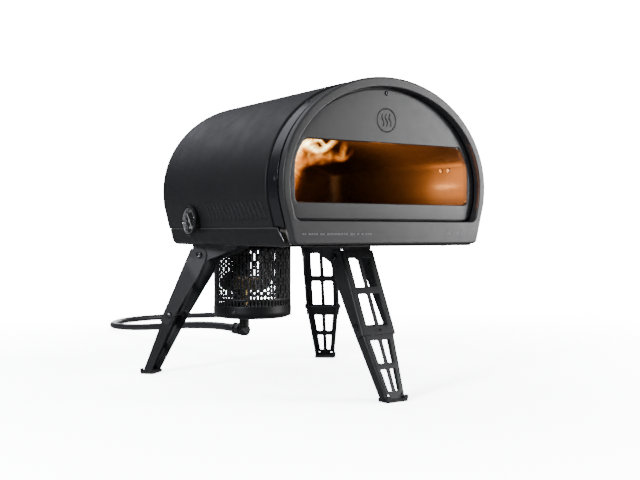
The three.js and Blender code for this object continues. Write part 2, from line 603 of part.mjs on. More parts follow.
buildFace();
buildShell();
buildTray();
buildChamber();
buildThermometer();
buildCan();
buildBurner();
buildValve();
buildElbow();
buildHose();
LEGS.forEach(buildLeg);

export default oven;
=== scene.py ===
import json
import math
import random

import bmesh
import bpy
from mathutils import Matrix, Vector


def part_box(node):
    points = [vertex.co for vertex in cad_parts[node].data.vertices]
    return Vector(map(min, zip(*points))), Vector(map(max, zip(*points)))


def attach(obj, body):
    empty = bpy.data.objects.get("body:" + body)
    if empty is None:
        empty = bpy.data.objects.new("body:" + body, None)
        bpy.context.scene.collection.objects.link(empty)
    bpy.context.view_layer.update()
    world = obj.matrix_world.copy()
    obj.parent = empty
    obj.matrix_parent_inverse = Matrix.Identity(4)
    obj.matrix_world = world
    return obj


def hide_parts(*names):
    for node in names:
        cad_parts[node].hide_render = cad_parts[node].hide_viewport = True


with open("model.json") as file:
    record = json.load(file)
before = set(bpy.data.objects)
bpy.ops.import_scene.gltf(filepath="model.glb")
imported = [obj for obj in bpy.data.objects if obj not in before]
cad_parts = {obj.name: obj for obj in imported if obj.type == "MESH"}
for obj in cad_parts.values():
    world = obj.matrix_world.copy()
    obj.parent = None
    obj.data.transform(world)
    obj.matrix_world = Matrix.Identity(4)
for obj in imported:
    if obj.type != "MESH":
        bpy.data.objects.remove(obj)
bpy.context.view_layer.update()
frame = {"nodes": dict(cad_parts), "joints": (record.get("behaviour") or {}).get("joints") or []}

# ---------------------------------------------------------------- driving dimensions (millimetres)
MM = 0.001
FRONT_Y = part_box("front_bezel")[0][1] / MM  # the bezel's front plane, in the frame's Y

BODY = dict(a=185, b=158, zc=315, bottom=229, foot=169.2, corner=8)
TRAY = dict(BODY, bottom=226, foot=169.6)
OPENING = dict(a=173, b=142.5, zc=316, bottom=262.5, foot=166.6, corner=12)
JACKET_Y = (48, 398)
JACKET_BOTTOM = 253
BAND_Y = (20.2, 47)
PLATE_Y = 12.3
REAR_Y = 392.3
PLATE_GAP = 4
LINER = dict(half=161.4, floor=264.2, spring=350, top=400.4)
DIAL = Vector((-181, 292, 265))
DIAL_R = 25
CAN = Vector((0, 415, 0))
CAN_R = 69
VALVE_Z = 152
SMOOTH = math.radians(32)
LEAN = math.radians(25)
LEG_HALF, LEG_WEB, LEG_END = 31, 20, 134
SHIN_HALF, SHIN_TOE_HALF, SHIN_WEB, SHIN_FULL_L, SHIN_TOE_L = 28.4, 15.4, 17.7, 135, 252
KNEE_N, KNEE_L = 7.6, 117.5
SHEET = 2.0
EMBER = (1, 0.3, 0.055)
BRIGHT_EMBER = (1, 0.42, 0.13)
FLAME_SPREAD_END = 0.62  # the part of a ribbon over which it narrows


def at(x, y, z):
    """A point in millimetres, Y from the bezel's front plane, as metres in the frame."""
    return Vector((x * MM, (y + FRONT_Y) * MM, z * MM))


# ---------------------------------------------------------------- camera
def make_camera():
    camera = bpy.data.objects.new("camera", bpy.data.cameras.new("camera"))
    bpy.context.scene.collection.objects.link(camera)
    camera.location = at(-834.15, -1074.77, 246.34)
    camera.rotation_euler = (math.radians(89.53), 0, math.radians(-33.4))
    camera.data.lens = 52.25
    camera.data.sensor_width = 36
    bpy.context.scene.camera = camera


make_camera()


# ---------------------------------------------------------------- materials
class Shader:
    """A small helper that builds one procedural material on object coordinates."""

    def __init__(self, name):
        self.material = bpy.data.materials.new(name)
        self.material.use_nodes = True
        self.tree = self.material.node_tree
        self.bsdf = self.tree.nodes["Principled BSDF"]
        self.coords = self.tree.nodes.new("ShaderNodeTexCoord").outputs["Object"]

    def node(self, kind, **inputs):
        made = self.tree.nodes.new(kind)
        for key, value in inputs.items():
            socket = made.inputs[key.replace("_", " ")]
            if isinstance(value, bpy.types.NodeSocket):
                self.tree.links.new(value, socket)
            else:
                socket.default_value = value
        return made

    def noise(self, scale, detail=4.0, stretch=(1, 1, 1), roughness=0.55):
        place = self.node("ShaderNodeMapping", Vector=self.coords, Scale=stretch)
        out = self.node("ShaderNodeTexNoise", Vector=place.outputs[0], Scale=scale, Detail=detail)
        out.inputs["Roughness"].default_value = roughness
        return out.outputs["Fac"]

    def span(self, value, low, high, start=0.3, end=0.7):
        """Maps a 0..1 value to low..high."""
        made = self.tree.nodes.new("ShaderNodeMapRange")
        self.tree.links.new(value, made.inputs["Value"])
        for key, number in (("From Min", start), ("From Max", end), ("To Min", low), ("To Max", high)):
            made.inputs[key].default_value = number
        return made.outputs["Result"]

    def ramp(self, value, stops):
        made = self.node("ShaderNodeValToRGB", Fac=value)
        ramp = made.color_ramp
        while len(ramp.elements) < len(stops):
            ramp.elements.new(0.5)
        for element, (place, colour) in zip(ramp.elements, stops):
            element.position = place
            element.color = (*colour, 1)
        return made.outputs["Color"]

    def mix(self, factor, first, second, blend="MIX"):
        made = self.tree.nodes.new("ShaderNodeMix")
        made.data_type = "RGBA"
        made.blend_type = blend
        for socket, value in ((made.inputs[0], factor), (made.inputs[6], first), (made.inputs[7], second)):
            if isinstance(value, bpy.types.NodeSocket):
                self.tree.links.new(value, socket)
            elif isinstance(value, (int, float)):
                socket.default_value = value
            else:
                socket.default_value = (*value, 1)
        return made.outputs[2]

    def set(self, **inputs):
        for key, value in inputs.items():
            socket = self.bsdf.inputs[key.replace("_", " ")]
            if isinstance(value, bpy.types.NodeSocket):
                self.tree.links.new(value, socket)
            else:
                socket.default_value = value

    def bump(self, height, strength, distance):
        made = self.node("ShaderNodeBump", Height=height, Strength=strength, Distance=distance)
        self.tree.links.new(made.outputs[0], self.bsdf.inputs["Normal"])


def scaled(colour, factor):
    return tuple(channel * factor for channel in colour)


def coated(name, colour, rough, metallic=0.0, grain=900.0, depth=0.00004, edge_highlight=0.0):
    """Powder coat or paint: fine orange peel, faint cloudiness, and, where the last argument is above 0,
    sharp edges lightened as a painted highlight.
    """
    s = Shader(name)
    clouds = s.noise(9, 5)
    base = s.mix(s.span(clouds, 0, 1), scaled(colour, 0.88), scaled(colour, 1.12))
    if edge_highlight:
        # Painted highlight: convex edges, found by pointiness, are lightened to stand for light caught along
        # the sheet's edges.
        edges = s.tree.nodes.new("ShaderNodeNewGeometry").outputs["Pointiness"]
        edge_highlight_mask = s.span(edges, 0, edge_highlight, 0.53, 0.6)
        base = s.mix(edge_highlight_mask, base, scaled(colour, 4.5))
    s.set(Base_Color=base, Metallic=metallic, Roughness=s.span(s.noise(60, 6), rough * 0.9, rough * 1.12))
    s.bump(s.noise(grain, 2), 0.35, depth)
    return s.material


def silicone():
    s = Shader("silicone")
    clouds = s.noise(7, 4)
    base = s.mix(s.span(clouds, 0, 1), (0.0125, 0.0125, 0.0135), (0.017, 0.017, 0.0185))
    dust = s.span(s.noise(240, 8, roughness=0.7), 0, 0.16, 0.58, 0.75)
    s.set(Base_Color=s.mix(dust, base, (0.05, 0.051, 0.056)))
    s.set(Roughness=s.span(s.noise(35, 5), 0.46, 0.55), Specular_IOR_Level=0.4)
    s.set(Sheen_Weight=0.06, Sheen_Roughness=0.4, Sheen_Tint=(0.8, 0.84, 1.0, 1))
    s.bump(s.noise(1400, 3), 0.3, 0.00005)
    return s.material


def brushed(name, colour, rough, stretch, metallic=1.0):
    s = Shader(name)
    lines = s.noise(60, 6, stretch)
    base = s.mix(s.span(s.noise(12, 4), 0, 1), scaled(colour, 0.85), scaled(colour, 1.1))
    s.set(Base_Color=base, Metallic=metallic, Roughness=s.span(lines, rough * 0.8, rough * 1.25))
    s.bump(lines, 0.25, 0.00004)
    return s.material


def scaled_socket(s, colour, factor):
    return s.mix(1.0, colour, (factor, factor, factor), "MULTIPLY")


def heated_steel():
    """The liner: brushed sheet, blued and straw-tinted by heat, with sooty patches."""
    s = Shader("heated_steel")
    lines = s.noise(50, 6, (1, 0.05, 1))
    patches = s.noise(7, 3)
    tint = s.ramp(patches, [(0.3, (0.30, 0.26, 0.24)), (0.48, (0.42, 0.37, 0.32)),
                            (0.62, (0.38, 0.36, 0.36)), (0.75, (0.28, 0.28, 0.31))])
    soot = s.span(s.noise(26, 7, roughness=0.65), 0, 0.4, 0.52, 0.8)
    s.set(Base_Color=s.mix(soot, scaled_socket(s, tint, 0.22), (0.02, 0.017, 0.015)), Metallic=0.75)
    s.set(Roughness=s.span(lines, 0.3, 0.44))
    s.bump(lines, 0.2, 0.00005)
    return s.material


def stone():
    s = Shader("stone")
    speck = s.noise(420, 6, roughness=0.7)
    warm = s.mix(s.span(s.noise(16, 5), 0, 1), (0.40, 0.31, 0.20), (0.56, 0.46, 0.32))
    base = s.mix(s.span(speck, 0, 0.5, 0.5, 0.72), warm, (0.2, 0.14, 0.09))
    scorch = s.span(s.noise(9, 6, roughness=0.6), 0, 0.75, 0.55, 0.72)
    s.set(Base_Color=s.mix(scorch, base, (0.09, 0.06, 0.04)), Roughness=0.88)
    s.bump(s.noise(330, 7, roughness=0.7), 0.5, 0.0004)
    return s.material


def rubber(name, colour=(0.016, 0.016, 0.018), rough=0.6):
    s = Shader(name)
    base = s.mix(s.span(s.noise(30, 4), 0, 1), scaled(colour, 0.8), scaled(colour, 1.3))
    s.set(Base_Color=base, Roughness=s.span(s.noise(90, 5), rough * 0.88, rough * 1.1))
    s.bump(s.noise(700, 3), 0.3, 0.00006)
    return s.material


def hose_rubber():
    s = Shader("hose_rubber")
    base = s.mix(s.span(s.noise(22, 5), 0, 1), (0.017, 0.016, 0.02), (0.03, 0.028, 0.034))
    dust = s.span(s.noise(160, 6, roughness=0.7), 0, 0.22, 0.56, 0.72)
    s.set(Base_Color=s.mix(dust, base, (0.08, 0.078, 0.085)), Roughness=s.span(s.noise(70, 5), 0.4, 0.52))
    s.bump(s.noise(900, 3), 0.35, 0.00006)
    return s.material


def fibre():
    s = Shader("ceramic_fibre")
    strands = s.noise(90, 8, (1, 1, 3), 0.75)
    s.set(Base_Color=s.mix(strands, (0.55, 0.52, 0.45), (0.8, 0.78, 0.7)), Roughness=0.95)
    s.bump(strands, 0.8, 0.001)
    return s.material


def plain(name, colour, rough, metallic=0.0, grain=500.0):
    s = Shader(name)
    base = s.mix(s.span(s.noise(40, 4), 0, 1), scaled(colour, 0.92), scaled(colour, 1.06))
    s.set(Base_Color=base, Roughness=s.span(s.noise(80, 4), rough * 0.9, rough * 1.1), Metallic=metallic)
    s.bump(s.noise(grain, 2), 0.15, 0.00003)
    return s.material


def clear_glass():
    s = Shader("clear_glass")
    s.set(Base_Color=(0.02, 0.02, 0.02, 1), IOR=1.5, Alpha=0.14)
    s.set(Roughness=s.span(s.noise(55, 5), 0.02, 0.08))
    return s.material


MATERIALS = {
    "satin_grey": coated("satin_grey", (0.05, 0.05, 0.051), 0.36, 0.25, 1100, 0.00003),
    # The last number of black_steel and leg_steel sets the strength of their painted edge highlight.
    "black_steel": coated("black_steel", (0.009, 0.009, 0.0095), 0.4, 0.2, 900, 0.00004, 0.25),
    "gloss_black": coated("gloss_black", (0.014, 0.015, 0.018), 0.24, 0.3, 300, 0.00002),
    "leg_steel": coated("leg_steel", (0.034, 0.034, 0.035), 0.38, 0.35, 1000, 0.00004, 0.3),
    "silicone": silicone(),
    "steel": heated_steel(),
    "plain_steel": brushed("plain_steel", (0.5, 0.49, 0.47), 0.34, (0.1, 1, 1)),
    "brass": brushed("brass", (0.62, 0.43, 0.17), 0.3, (1, 0.15, 1)),
    "insulation": fibre(),
    "stone": stone(),
    "rubber": rubber("rubber"),
    "hose": hose_rubber(),
    "dial_white": plain("dial_white", (0.8, 0.8, 0.77), 0.5),
    "dial_black": plain("dial_black", (0.012, 0.012, 0.013), 0.45),
    "case_black": coated("case_black", (0.012, 0.012, 0.013), 0.3, 0.4),
    "chrome": plain("chrome", (0.75, 0.75, 0.77), 0.12, 1.0),
    "clear_glass": clear_glass(),
    "ceramic": plain("ceramic", (0.75, 0.7, 0.62), 0.4),
    "screw_steel": plain("screw_steel", (0.09, 0.09, 0.095), 0.26, 0.9),
    "knob_plastic": coated("knob_plastic", (0.018, 0.018, 0.019), 0.45),
    "print": plain("print", (0.24, 0.24, 0.245), 0.6),
    # Light grey for the beads along the skirts' edges: a painted highlight for light caught by the edge.
    "highlight_hem": coated("highlight_hem", (0.16, 0.16, 0.165), 0.3, 0.6),
}


# ---------------------------------------------------------------- mesh helpers
def new_object(name, mesh, material, smooth=SMOOTH):
    made = bpy.data.objects.new(name, mesh)
    bpy.context.scene.collection.objects.link(made)
    mesh.materials.clear()
    mesh.materials.append(MATERIALS[material])
    mesh.shade_smooth()
    mesh.set_sharp_from_angle(angle=smooth)
    weigh_normals(made)
    return made


def weigh_normals(piece):
    """Keeps flat faces flat beside their rounded edges."""
    weighted = piece.modifiers.new("normals", "WEIGHTED_NORMAL")
    weighted.keep_sharp = True


def from_bmesh(name, bm, material, smooth=SMOOTH):
    bmesh.ops.remove_doubles(bm, verts=bm.verts, dist=1e-7)
    bmesh.ops.recalc_face_normals(bm, faces=bm.faces)
    mesh = bpy.data.meshes.new(name)
    bm.to_mesh(mesh)
    bm.free()
    return new_object(name, mesh, material, smooth)


def add_rows(bm, rows, ring, close_rows, caps=False):
    """Faces between rows of points. ring closes each row; close_rows joins the last to the first."""
    made = [[bm.verts.new(p) for p in row] for row in rows]
    count = len(made[0])
    pairs = list(zip(made, made[1:])) + ([(made[-1], made[0])] if close_rows else [])
    for low, high in pairs:
        for i in range(count if ring else count - 1):
            j = (i + 1) % count
            quad = [low[i], low[j], high[j], high[i]]
            kept = [v for k, v in enumerate(quad) if v.co != quad[k - 1].co]
            if len(kept) > 2:
                bm.faces.new(kept)
    if caps and ring:
        bm.faces.new(made[0][::-1])
        bm.faces.new(made[-1])
    if caps and not ring and close_rows:
        bm.faces.new([row[0] for row in made][::-1])
        bm.faces.new([row[-1] for row in made])
    return made


def loft(name, rows, material, ring=True, close_rows=False, caps=False, smooth=SMOOTH):
    bm = bmesh.new()
    add_rows(bm, rows, ring, close_rows, caps)
    return from_bmesh(name, bm, material, smooth)


def fillet(points, radius, steps=4):
    """Rounds every corner of a closed 2-D outline; radius may be one number or one per corner."""
    out = []
    count = len(points)
    radii = radius if isinstance(radius, (list, tuple)) else [radius] * count
    for i, (corner, r) in enumerate(zip(points, radii)):
        p = Vector(corner)
        before = Vector(points[i - 1]) - p
        after = Vector(points[(i + 1) % count]) - p
        r = min(r, before.length * 0.45, after.length * 0.45)
        if r <= 0:
            out.append(p)
            continue
        start = p + before.normalized() * r
        end = p + after.normalized() * r
        for k in range(steps + 1):
            t = k / steps
            out.append(start * (1 - t) ** 2 + p * 2 * t * (1 - t) + end * t ** 2)
    return out


def turned(name, profile, origin, axis, material, steps=48, smooth=SMOOTH, twist=None):
    """A turned piece: profile of (radius, height), in millimetres, along axis from origin (metres)."""
    axis = Vector(axis).normalized()
    side = axis.orthogonal().normalized()
    up = axis.cross(side)
    rows = []
    for r, h in profile:
        row = []
        for k in range(steps):
            angle = 2 * math.pi * k / steps
            radius = twist(r, h, angle) if twist else r
            spoke = side * math.cos(angle) + up * math.sin(angle)
            row.append(origin + axis * (h * MM) + spoke * (max(radius, 0.001) * MM))
        rows.append(row)
    return loft(name, rows, material, ring=True, caps=True, smooth=smooth)


def joined(name, parts):
    """Joins objects that are one physical piece into one mesh."""
    bpy.ops.object.select_all(action="DESELECT")
    for part in parts:
        part.select_set(True)
    bpy.context.view_layer.objects.active = parts[0]
    bpy.ops.object.join()
    parts[0].name = name
    parts[0].data.name = name
    return parts[0]


def place(piece, body, slot, *nodes):
    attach(piece, body)
    if nodes:
        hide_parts(*nodes)
    return piece


# ---------------------------------------------------------------- outlines of the barrel
def arc(ca, cb, ra, rb, start, end, steps):
    angles = [math.radians(start + (end - start) * i / steps) for i in range(steps + 1)]
    return [(ca + ra * math.cos(t), cb + rb * math.sin(t)) for t in angles]


def barrel(section, inset=0.0, steps=96):
    low = section["foot"] - inset
    floor = section["bottom"] + inset
    r = section["corner"]
    side_x, side_z = section["a"] - 2 - inset, section["zc"] - 25
    right = arc(low - r, floor + r, r, r, -90, -5, 8)
    foot_x, foot_z = right[-1]
    right += [(foot_x + (side_x - foot_x) * t, foot_z + (side_z - foot_z) * t) for t in (0.33, 0.67, 1)]
    top_x = section["a"] - inset
    right += [(side_x + 2 * (1 - (1 - t) ** 2), side_z + 25 * t) for t in (0.25, 0.5, 0.75)]
    left = [(-x, z) for x, z in reversed(right)]
    return right + arc(0, section["zc"], top_x, section["b"] - inset, 0, 180, steps) + left


def arch(section, inset, floor, steps=96):
    """The barrel's outline cut off level at floor, from the right foot over the top to the left."""
    full = barrel(section, inset, steps)
    above = [p for p in full if p[1] > floor + 0.5]
    x0, z0 = [p for p in full[:30] if p[1] <= floor + 0.5][-1]
    x1, z1 = above[0]
    x = x0 + (x1 - x0) * (floor - z0) / (z1 - z0)
    return [(x, floor)] + above + [(-x, floor)]


def offset_loop(loop, distance):
    """Moves a closed counter-clockwise outline outwards by distance."""
    out = []
    count = len(loop)
    for i, p in enumerate(loop):
        ahead = Vector(loop[(i + 1) % count]) - Vector(loop[i - 1])
        out.append((p[0] + ahead.y / ahead.length * distance, p[1] - ahead.x / ahead.length * distance))
    return out


def mouth_outline():
    right = [(158, 288.5), (158, 334), (156.3, 350), (150, 364), (141, 377.5)]
    loop = right + [(-x, z) for x, z in reversed(right)]
    radii = [8, 30, 22, 16, 3.5]
    return fillet(loop, radii + radii[::-1], 8)


# ---------------------------------------------------------------- front
def make_bezel():
    profile = fillet([(0.0, 12.0), (0.0, 0.0), (20.0, 0.0), (20.0, 12.0)], [0.8, 3.0, 1.9, 0.8], 5)
    rows = []
    for across, y in profile:
        if across < 10:
            loop = barrel(BODY, across)
        else:
            loop = barrel(OPENING, across - 20)
        rows.append([at(x, y, z) for x, z in loop])
    bezel = loft("bezel_ring", rows, "satin_grey", ring=True, close_rows=True)
    place(bezel, "oven", "satin_grey", "front_bezel")

    profile = fillet([(4.0, 12.3), (4.0, 19.9), (10.0, 19.9), (10.0, 12.3)], 1.2, 3)
    rows = [[at(x, y, z) for x, z in barrel(BODY, inset)] for inset, y in profile]
    seal = loft("front_gasket", rows, "rubber", ring=True, close_rows=True)
    place(seal, "oven", "rubber", "front_seal")
    # A dark rubber ring behind the gap between the plate and the bezel: a dark sheet put there as painted
    # shade, so the gap reads black.
    profile = fillet([(-3.0, 14.4), (-3.0, 19.4), (7.0, 19.4), (7.0, 14.4)], 1.6, 3)
    rows = [[at(x, y, z) for x, z in barrel(OPENING, inset)] for inset, y in profile]
    gap_shade = loft("gap_shade_ring", rows, "rubber", ring=True, close_rows=True)
    place(gap_shade, "oven", "rubber")


def make_plate():
    bm = bmesh.new()
    mouth = mouth_outline()
    rim = [(1.3, PLATE_Y + 1.7), (1.3, PLATE_Y + 1.3), (0.9, PLATE_Y + 0.4), (0.0, PLATE_Y)]
    made = add_rows(bm, [[at(x, y, z) for x, z in barrel(OPENING, PLATE_GAP - d)]
                         for d, y in rim], True, False)
    lip = [(1.5, 0.0), (0.7, 0.35), (0.2, 1.0), (0.0, 2.2), (0.0, 8.0), (0.9, 8.0), (0.9, 1.9)]
    inner = add_rows(bm, [[at(x, PLATE_Y + dy, z) for x, z in offset_loop(mouth, d)] for d, dy in lip],
                     True, False)
    bm.edges.ensure_lookup_table()

    def loop_edges(verts):
        count = len(verts)
        return [bm.edges.get((verts[i], verts[(i + 1) % count])) for i in range(count)]

    bmesh.ops.triangle_fill(bm, use_beauty=True, edges=loop_edges(made[-1]) + loop_edges(inner[0]))
    bmesh.ops.triangle_fill(bm, use_beauty=True, edges=loop_edges(made[0]) + loop_edges(inner[-1]))
    plate = from_bmesh("mouth_plate", bm, "satin_grey", math.radians(25))
    place(plate, "oven", "satin_grey", "face_plate")
    screw("plate_screw", at(0, PLATE_Y - 0.1, 450.5), (0, -1, 0), 3.4, 1.5, "oven", "face_plate_screw")


def screw(name, origin, axis, radius, height, body, node=None, recess=0.5, material="screw_steel"):
    """A button head with a hexagon socket, standing on origin."""
    def hexed(r, h, angle):
        if r > recess * radius:
            return r
        wedge = (angle % (math.pi / 3)) - math.pi / 6
        return r * math.cos(math.pi / 6) / math.cos(wedge)

    socket = recess * radius
    profile = [(radius * 0.8, -0.4), (radius, 0), (radius, height * 0.22), (radius * 0.93, height * 0.6),
               (radius * 0.75, height * 0.9), (socket * 1.12, height), (socket, height * 0.93),
               (socket * 0.97, height * 0.25), (0.02, height * 0.15)]
    made = turned(name, profile, origin, axis, material, 36, math.radians(30), hexed)
    return place(made, body, "screw_steel", *([node] if node else []))


def bead(bm, path, radius, closed, flat=0.5, sides=8):
    """A rounded bead along a path of (x, z) on the plate, standing out by radius * flat."""
    count = len(path)
    rows = []
    for i, p in enumerate(path):
        here = Vector(p)
        before = Vector(path[i - 1]) if closed or i else here
        after = Vector(path[(i + 1) % count]) if closed or i < count - 1 else here
        along = (after - before).normalized()
        side = Vector((along.y, -along.x))
        row = []
        for k in range(sides):
            angle = 2 * math.pi * k / sides
            spot = here + side * (radius * math.cos(angle))
            row.append(at(spot.x, PLATE_Y - radius * flat * math.sin(angle), spot.y))
        rows.append(row)
    add_rows(bm, rows, True, closed, caps=not closed)


def make_heat_mark():
    """A plain pressed mark: a ring round three rising waves."""
    bm = bmesh.new()
    centre = 411
    bead(bm, [(17 * math.cos(t), centre + 17 * math.sin(t)) for t in
              [2 * math.pi * k / 64 for k in range(64)]], 1.1, True, 0.8)
    for x in (-6.5, 0, 6.5):
        wave = [(x + 1.9 * math.sin(2 * math.pi * t), centre - 9 + 18 * t) for t in
                [k / 24 for k in range(25)]]
        bead(bm, wave, 1.1, False, 0.8)
    mark = from_bmesh("heat_mark", bm, "satin_grey")
    place(mark, "oven", "satin_grey")


def flat_box(bm, x0, x1, z0, z1, y0, y1):
    corners = [(x0, z0), (x1, z0), (x1, z1), (x0, z1)]
    add_rows(bm, [[at(x, y, z) for x, z in corners] for y in (y1, y0)], True, False, caps=True)


def make_prints():
    """Faint printed dashes on the bezel's lower strip."""
    bm = bmesh.new()
    random.seed(4)
    x = -154
    while x < -38:
        length = random.choice((2.2, 3.4, 4.6))
        flat_box(bm, x, x + length, 242.9, 244.9, -0.05, 0.3)
        x += length + random.choice((1.4, 1.4, 4))
    for k in range(5):
        x = 108 + 8.8 * k
        flat_box(bm, x, x + 5.6, 242.4, 247.2, -0.05, 0.3)
    prints = from_bmesh("printed_dashes", bm, "print")
    place(prints, "oven", "satin_grey")


# ---------------------------------------------------------------- barrel
def arch_piece(name, corners, radii, section, floor, material, slot, node, steps=5):
    profile = fillet(corners, radii, steps)
    rows = [[at(x, y, z) for x, z in arch(section, inset, floor)] for inset, y in profile]
    piece = loft(name, rows, material, ring=False, close_rows=True, caps=True)
    return place(piece, "oven", slot, *([node] if node else []))


def side_point(y, z, stand):
    """A point on the jacket's left flank, standing out by stand."""
    foot = barrel(BODY)[8]
    slope = (BODY["a"] - 2 - foot[0]) / (BODY["zc"] - 25 - foot[1])
    x = foot[0] + (z - foot[1]) * slope
    normal = Vector((1, -slope)).normalized()
    return x + normal.x * stand, y, z + normal.y * stand


def make_ribs(side):
    """A row of slanted raised bars on one flank of the jacket."""
    bm = bmesh.new()
    for k in range(14):
        y0 = 58 + k * 13.2
        lean = 9
        outline = fillet([(y0, 265), (y0 + 6, 265), (y0 + 6 + lean, 290), (y0 + lean, 290)], 2.4, 4)
        rows = []
        for grow, stand in ((0.5, -0.6), (0.3, 0.5), (-0.1, 1.0), (-0.7, 1.25)):
            rows.append([Vector(((p := side_point(*spot, stand))[0] * side * MM, (p[1] + FRONT_Y) * MM,
                                 p[2] * MM)) for spot in offset_loop(outline, grow)])
        made = add_rows(bm, rows, True, False)
        bm.faces.new(made[-1])
    name = "left_flank_bars" if side < 0 else "right_flank_bars"
    ribs = from_bmesh(name, bm, "silicone")
    place(ribs, "oven", "silicone")


def make_barrel():
    y0, y1 = JACKET_Y
    arch_piece("silicone_wrap", [(0, y0), (0, y1), (6.2, y1), (6.2, y0)], [2.6, 6, 1, 0.8],
               BODY, JACKET_BOTTOM, "silicone", "silicone", "silicone_jacket", 8)
    b0, b1 = BAND_Y
    arch_piece("front_band", [(2.2, b0), (2.2, b1), (6.2, b1), (6.2, b0)], [1.0, 0.8, 0.4, 0.4],
               BODY, JACKET_BOTTOM, "gloss_black", "gloss_black", "trim_band")
    for side in (-1, 1):
        make_ribs(side)
    for index, (side, y, angle) in enumerate([(-1, 27, 2), (-1, 39, 49), (1, 27, 2), (1, 39, 49)]):
        turn = math.radians(angle)
        a, b = BODY["a"] - 2.2, BODY["b"] - 2.2
        spot = at(side * a * math.cos(turn), y, BODY["zc"] + b * math.sin(turn))
        out = Vector((side * math.cos(turn) / a, 0, math.sin(turn) / b)).normalized()
        screw(f"band_screw_head_{index + 1}", spot, out, 3.3, 1.5, "oven", f"band_screw_{index + 1}")


def make_rear():
    """Rear panel with a raised field and five screws."""
    bm = bmesh.new()
    y = REAR_Y
    rings = [(7.0, -1.8), (7.0, -0.4), (7.6, 0), (24, 0), (26.5, 1.6), (29, 2.4)]
    section = dict(BODY, bottom=BODY["bottom"] + 16)
    made = add_rows(bm, [[at(x, y + dy, z) for x, z in barrel(section, inset)] for inset, dy in rings],
                    True, False)
    bm.faces.new(made[-1])
    bm.faces.new(made[0][::-1])
    panel = from_bmesh("rear_cover", bm, "black_steel")
    place(panel, "oven", "black_steel", "rear_panel")
    for index, (x, z) in enumerate([(-150, 262), (150, 262), (-128, 410), (128, 410), (0, 455)]):
        screw(f"rear_screw_{index + 1}", at(x, y, z), (0, 1, 0), 3.6, 1.6, "oven")


# ---------------------------------------------------------------- chamber
def make_chamber():
    half, floor, spring, top = LINER["half"], LINER["floor"], LINER["spring"], LINER["top"]

    def loop(inset):
        return fillet([(half - inset, floor + inset), (half - inset, floor + 40)], 0, 1) + [
            Vector(p) for p in arc(0, spring, half - inset, top - spring - inset, 0, 180, 64)] + [
            Vector((-half + inset, floor + 40)), Vector((-half + inset, floor + inset))]

    rows = [[at(x, y, z) for x, z in loop(inset)] for inset, y in
            [(-1.5, 14.4), (0, 14.4), (0, 120), (0, 250), (0, 330), (1, 342), (4, 354), (10, 364), (18, 370),
             (28, 372.3)]]
    bm = bmesh.new()
    made = add_rows(bm, rows, True, False)
    bm.faces.new(made[-1])
    liner = from_bmesh("chamber_liner", bm, "steel")
    place(liner, "oven", "steel", "oven_liner")

    lo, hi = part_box("stone_floor")
    lo, hi = Vector(lo) / MM, Vector(hi) / MM
    outline = fillet([(lo.x, lo.y), (hi.x, lo.y), (hi.x, hi.y), (lo.x, hi.y)], 8, 6)
    rows = []
    for grow, z in ((-1.2, lo.z), (0, lo.z + 1.2), (0, hi.z - 2), (-0.6, hi.z - 0.6), (-2, hi.z)):
        rows.append([Vector((x * MM, y * MM, z * MM)) for x, y in offset_loop(outline, grow)])
    slab = loft("baking_stone", rows, "stone", ring=True, caps=True)
    place(slab, "oven", "stone", "stone_floor")
    for index, (y, z) in enumerate([(60, 346), (78, 346)]):
        screw(f"liner_rivet_{index + 1}", at(half - 0.3, y, z), (-1, 0, 0), 3.6, 1.6, "oven",
              material="plain_steel")


def flame_material():
    """Emission that fades to nothing at a ribbon's edges, broken up by stretched noise."""
    material = bpy.data.materials.new("flame")
    material.use_nodes = True
    tree = material.node_tree
    tree.nodes.remove(tree.nodes["Principled BSDF"])
    coords = tree.nodes.new("ShaderNodeTexCoord")
    heat = tree.nodes.new("ShaderNodeSeparateXYZ")
    tree.links.new(coords.outputs["UV"], heat.inputs[0])
    swirl = tree.nodes.new("ShaderNodeTexNoise")
    swirl.inputs["Scale"].default_value = 45
    swirl.inputs["Detail"].default_value = 4
    swirl.inputs["Distortion"].default_value = 1.6
    tree.links.new(coords.outputs["Object"], swirl.inputs["Vector"])
    power = tree.nodes.new("ShaderNodeMath")
    power.operation = "MULTIPLY"
    tree.links.new(heat.outputs["X"], power.inputs[0])
    tree.links.new(swirl.outputs["Fac"], power.inputs[1])
    ramp = tree.nodes.new("ShaderNodeValToRGB")
    stops = [(0.1, (1, 0.16, 0.01)), (0.45, (1, 0.3, 0.03)), (0.75, (1, 0.55, 0.12)), (0.98, (1, 0.86, 0.4))]
    while len(ramp.color_ramp.elements) < len(stops):
        ramp.color_ramp.elements.new(0.5)
    for element, (place_at, colour) in zip(ramp.color_ramp.elements, stops):
        element.position = place_at
        element.color = (*colour, 1)
    tree.links.new(power.outputs[0], ramp.inputs[0])
    sharp = tree.nodes.new("ShaderNodeMath")
    sharp.operation = "POWER"
    sharp.inputs[1].default_value = 2.2
    tree.links.new(power.outputs[0], sharp.inputs[0])
    strength = tree.nodes.new("ShaderNodeMath")
    strength.operation = "MULTIPLY"
    strength.inputs[1].default_value = 4
    tree.links.new(sharp.outputs[0], strength.inputs[0])
    glow = tree.nodes.new("ShaderNodeEmission")
    tree.links.new(ramp.outputs["Color"], glow.inputs["Color"])
    tree.links.new(strength.outputs[0], glow.inputs["Strength"])
    clear = tree.nodes.new("ShaderNodeBsdfTransparent")
    total = tree.nodes.new("ShaderNodeAddShader")
    tree.links.new(glow.outputs[0], total.inputs[0])
    tree.links.new(clear.outputs[0], total.inputs[1])
    tree.links.new(total.outputs[0], tree.nodes["Material Output"].inputs["Surface"])
    return material


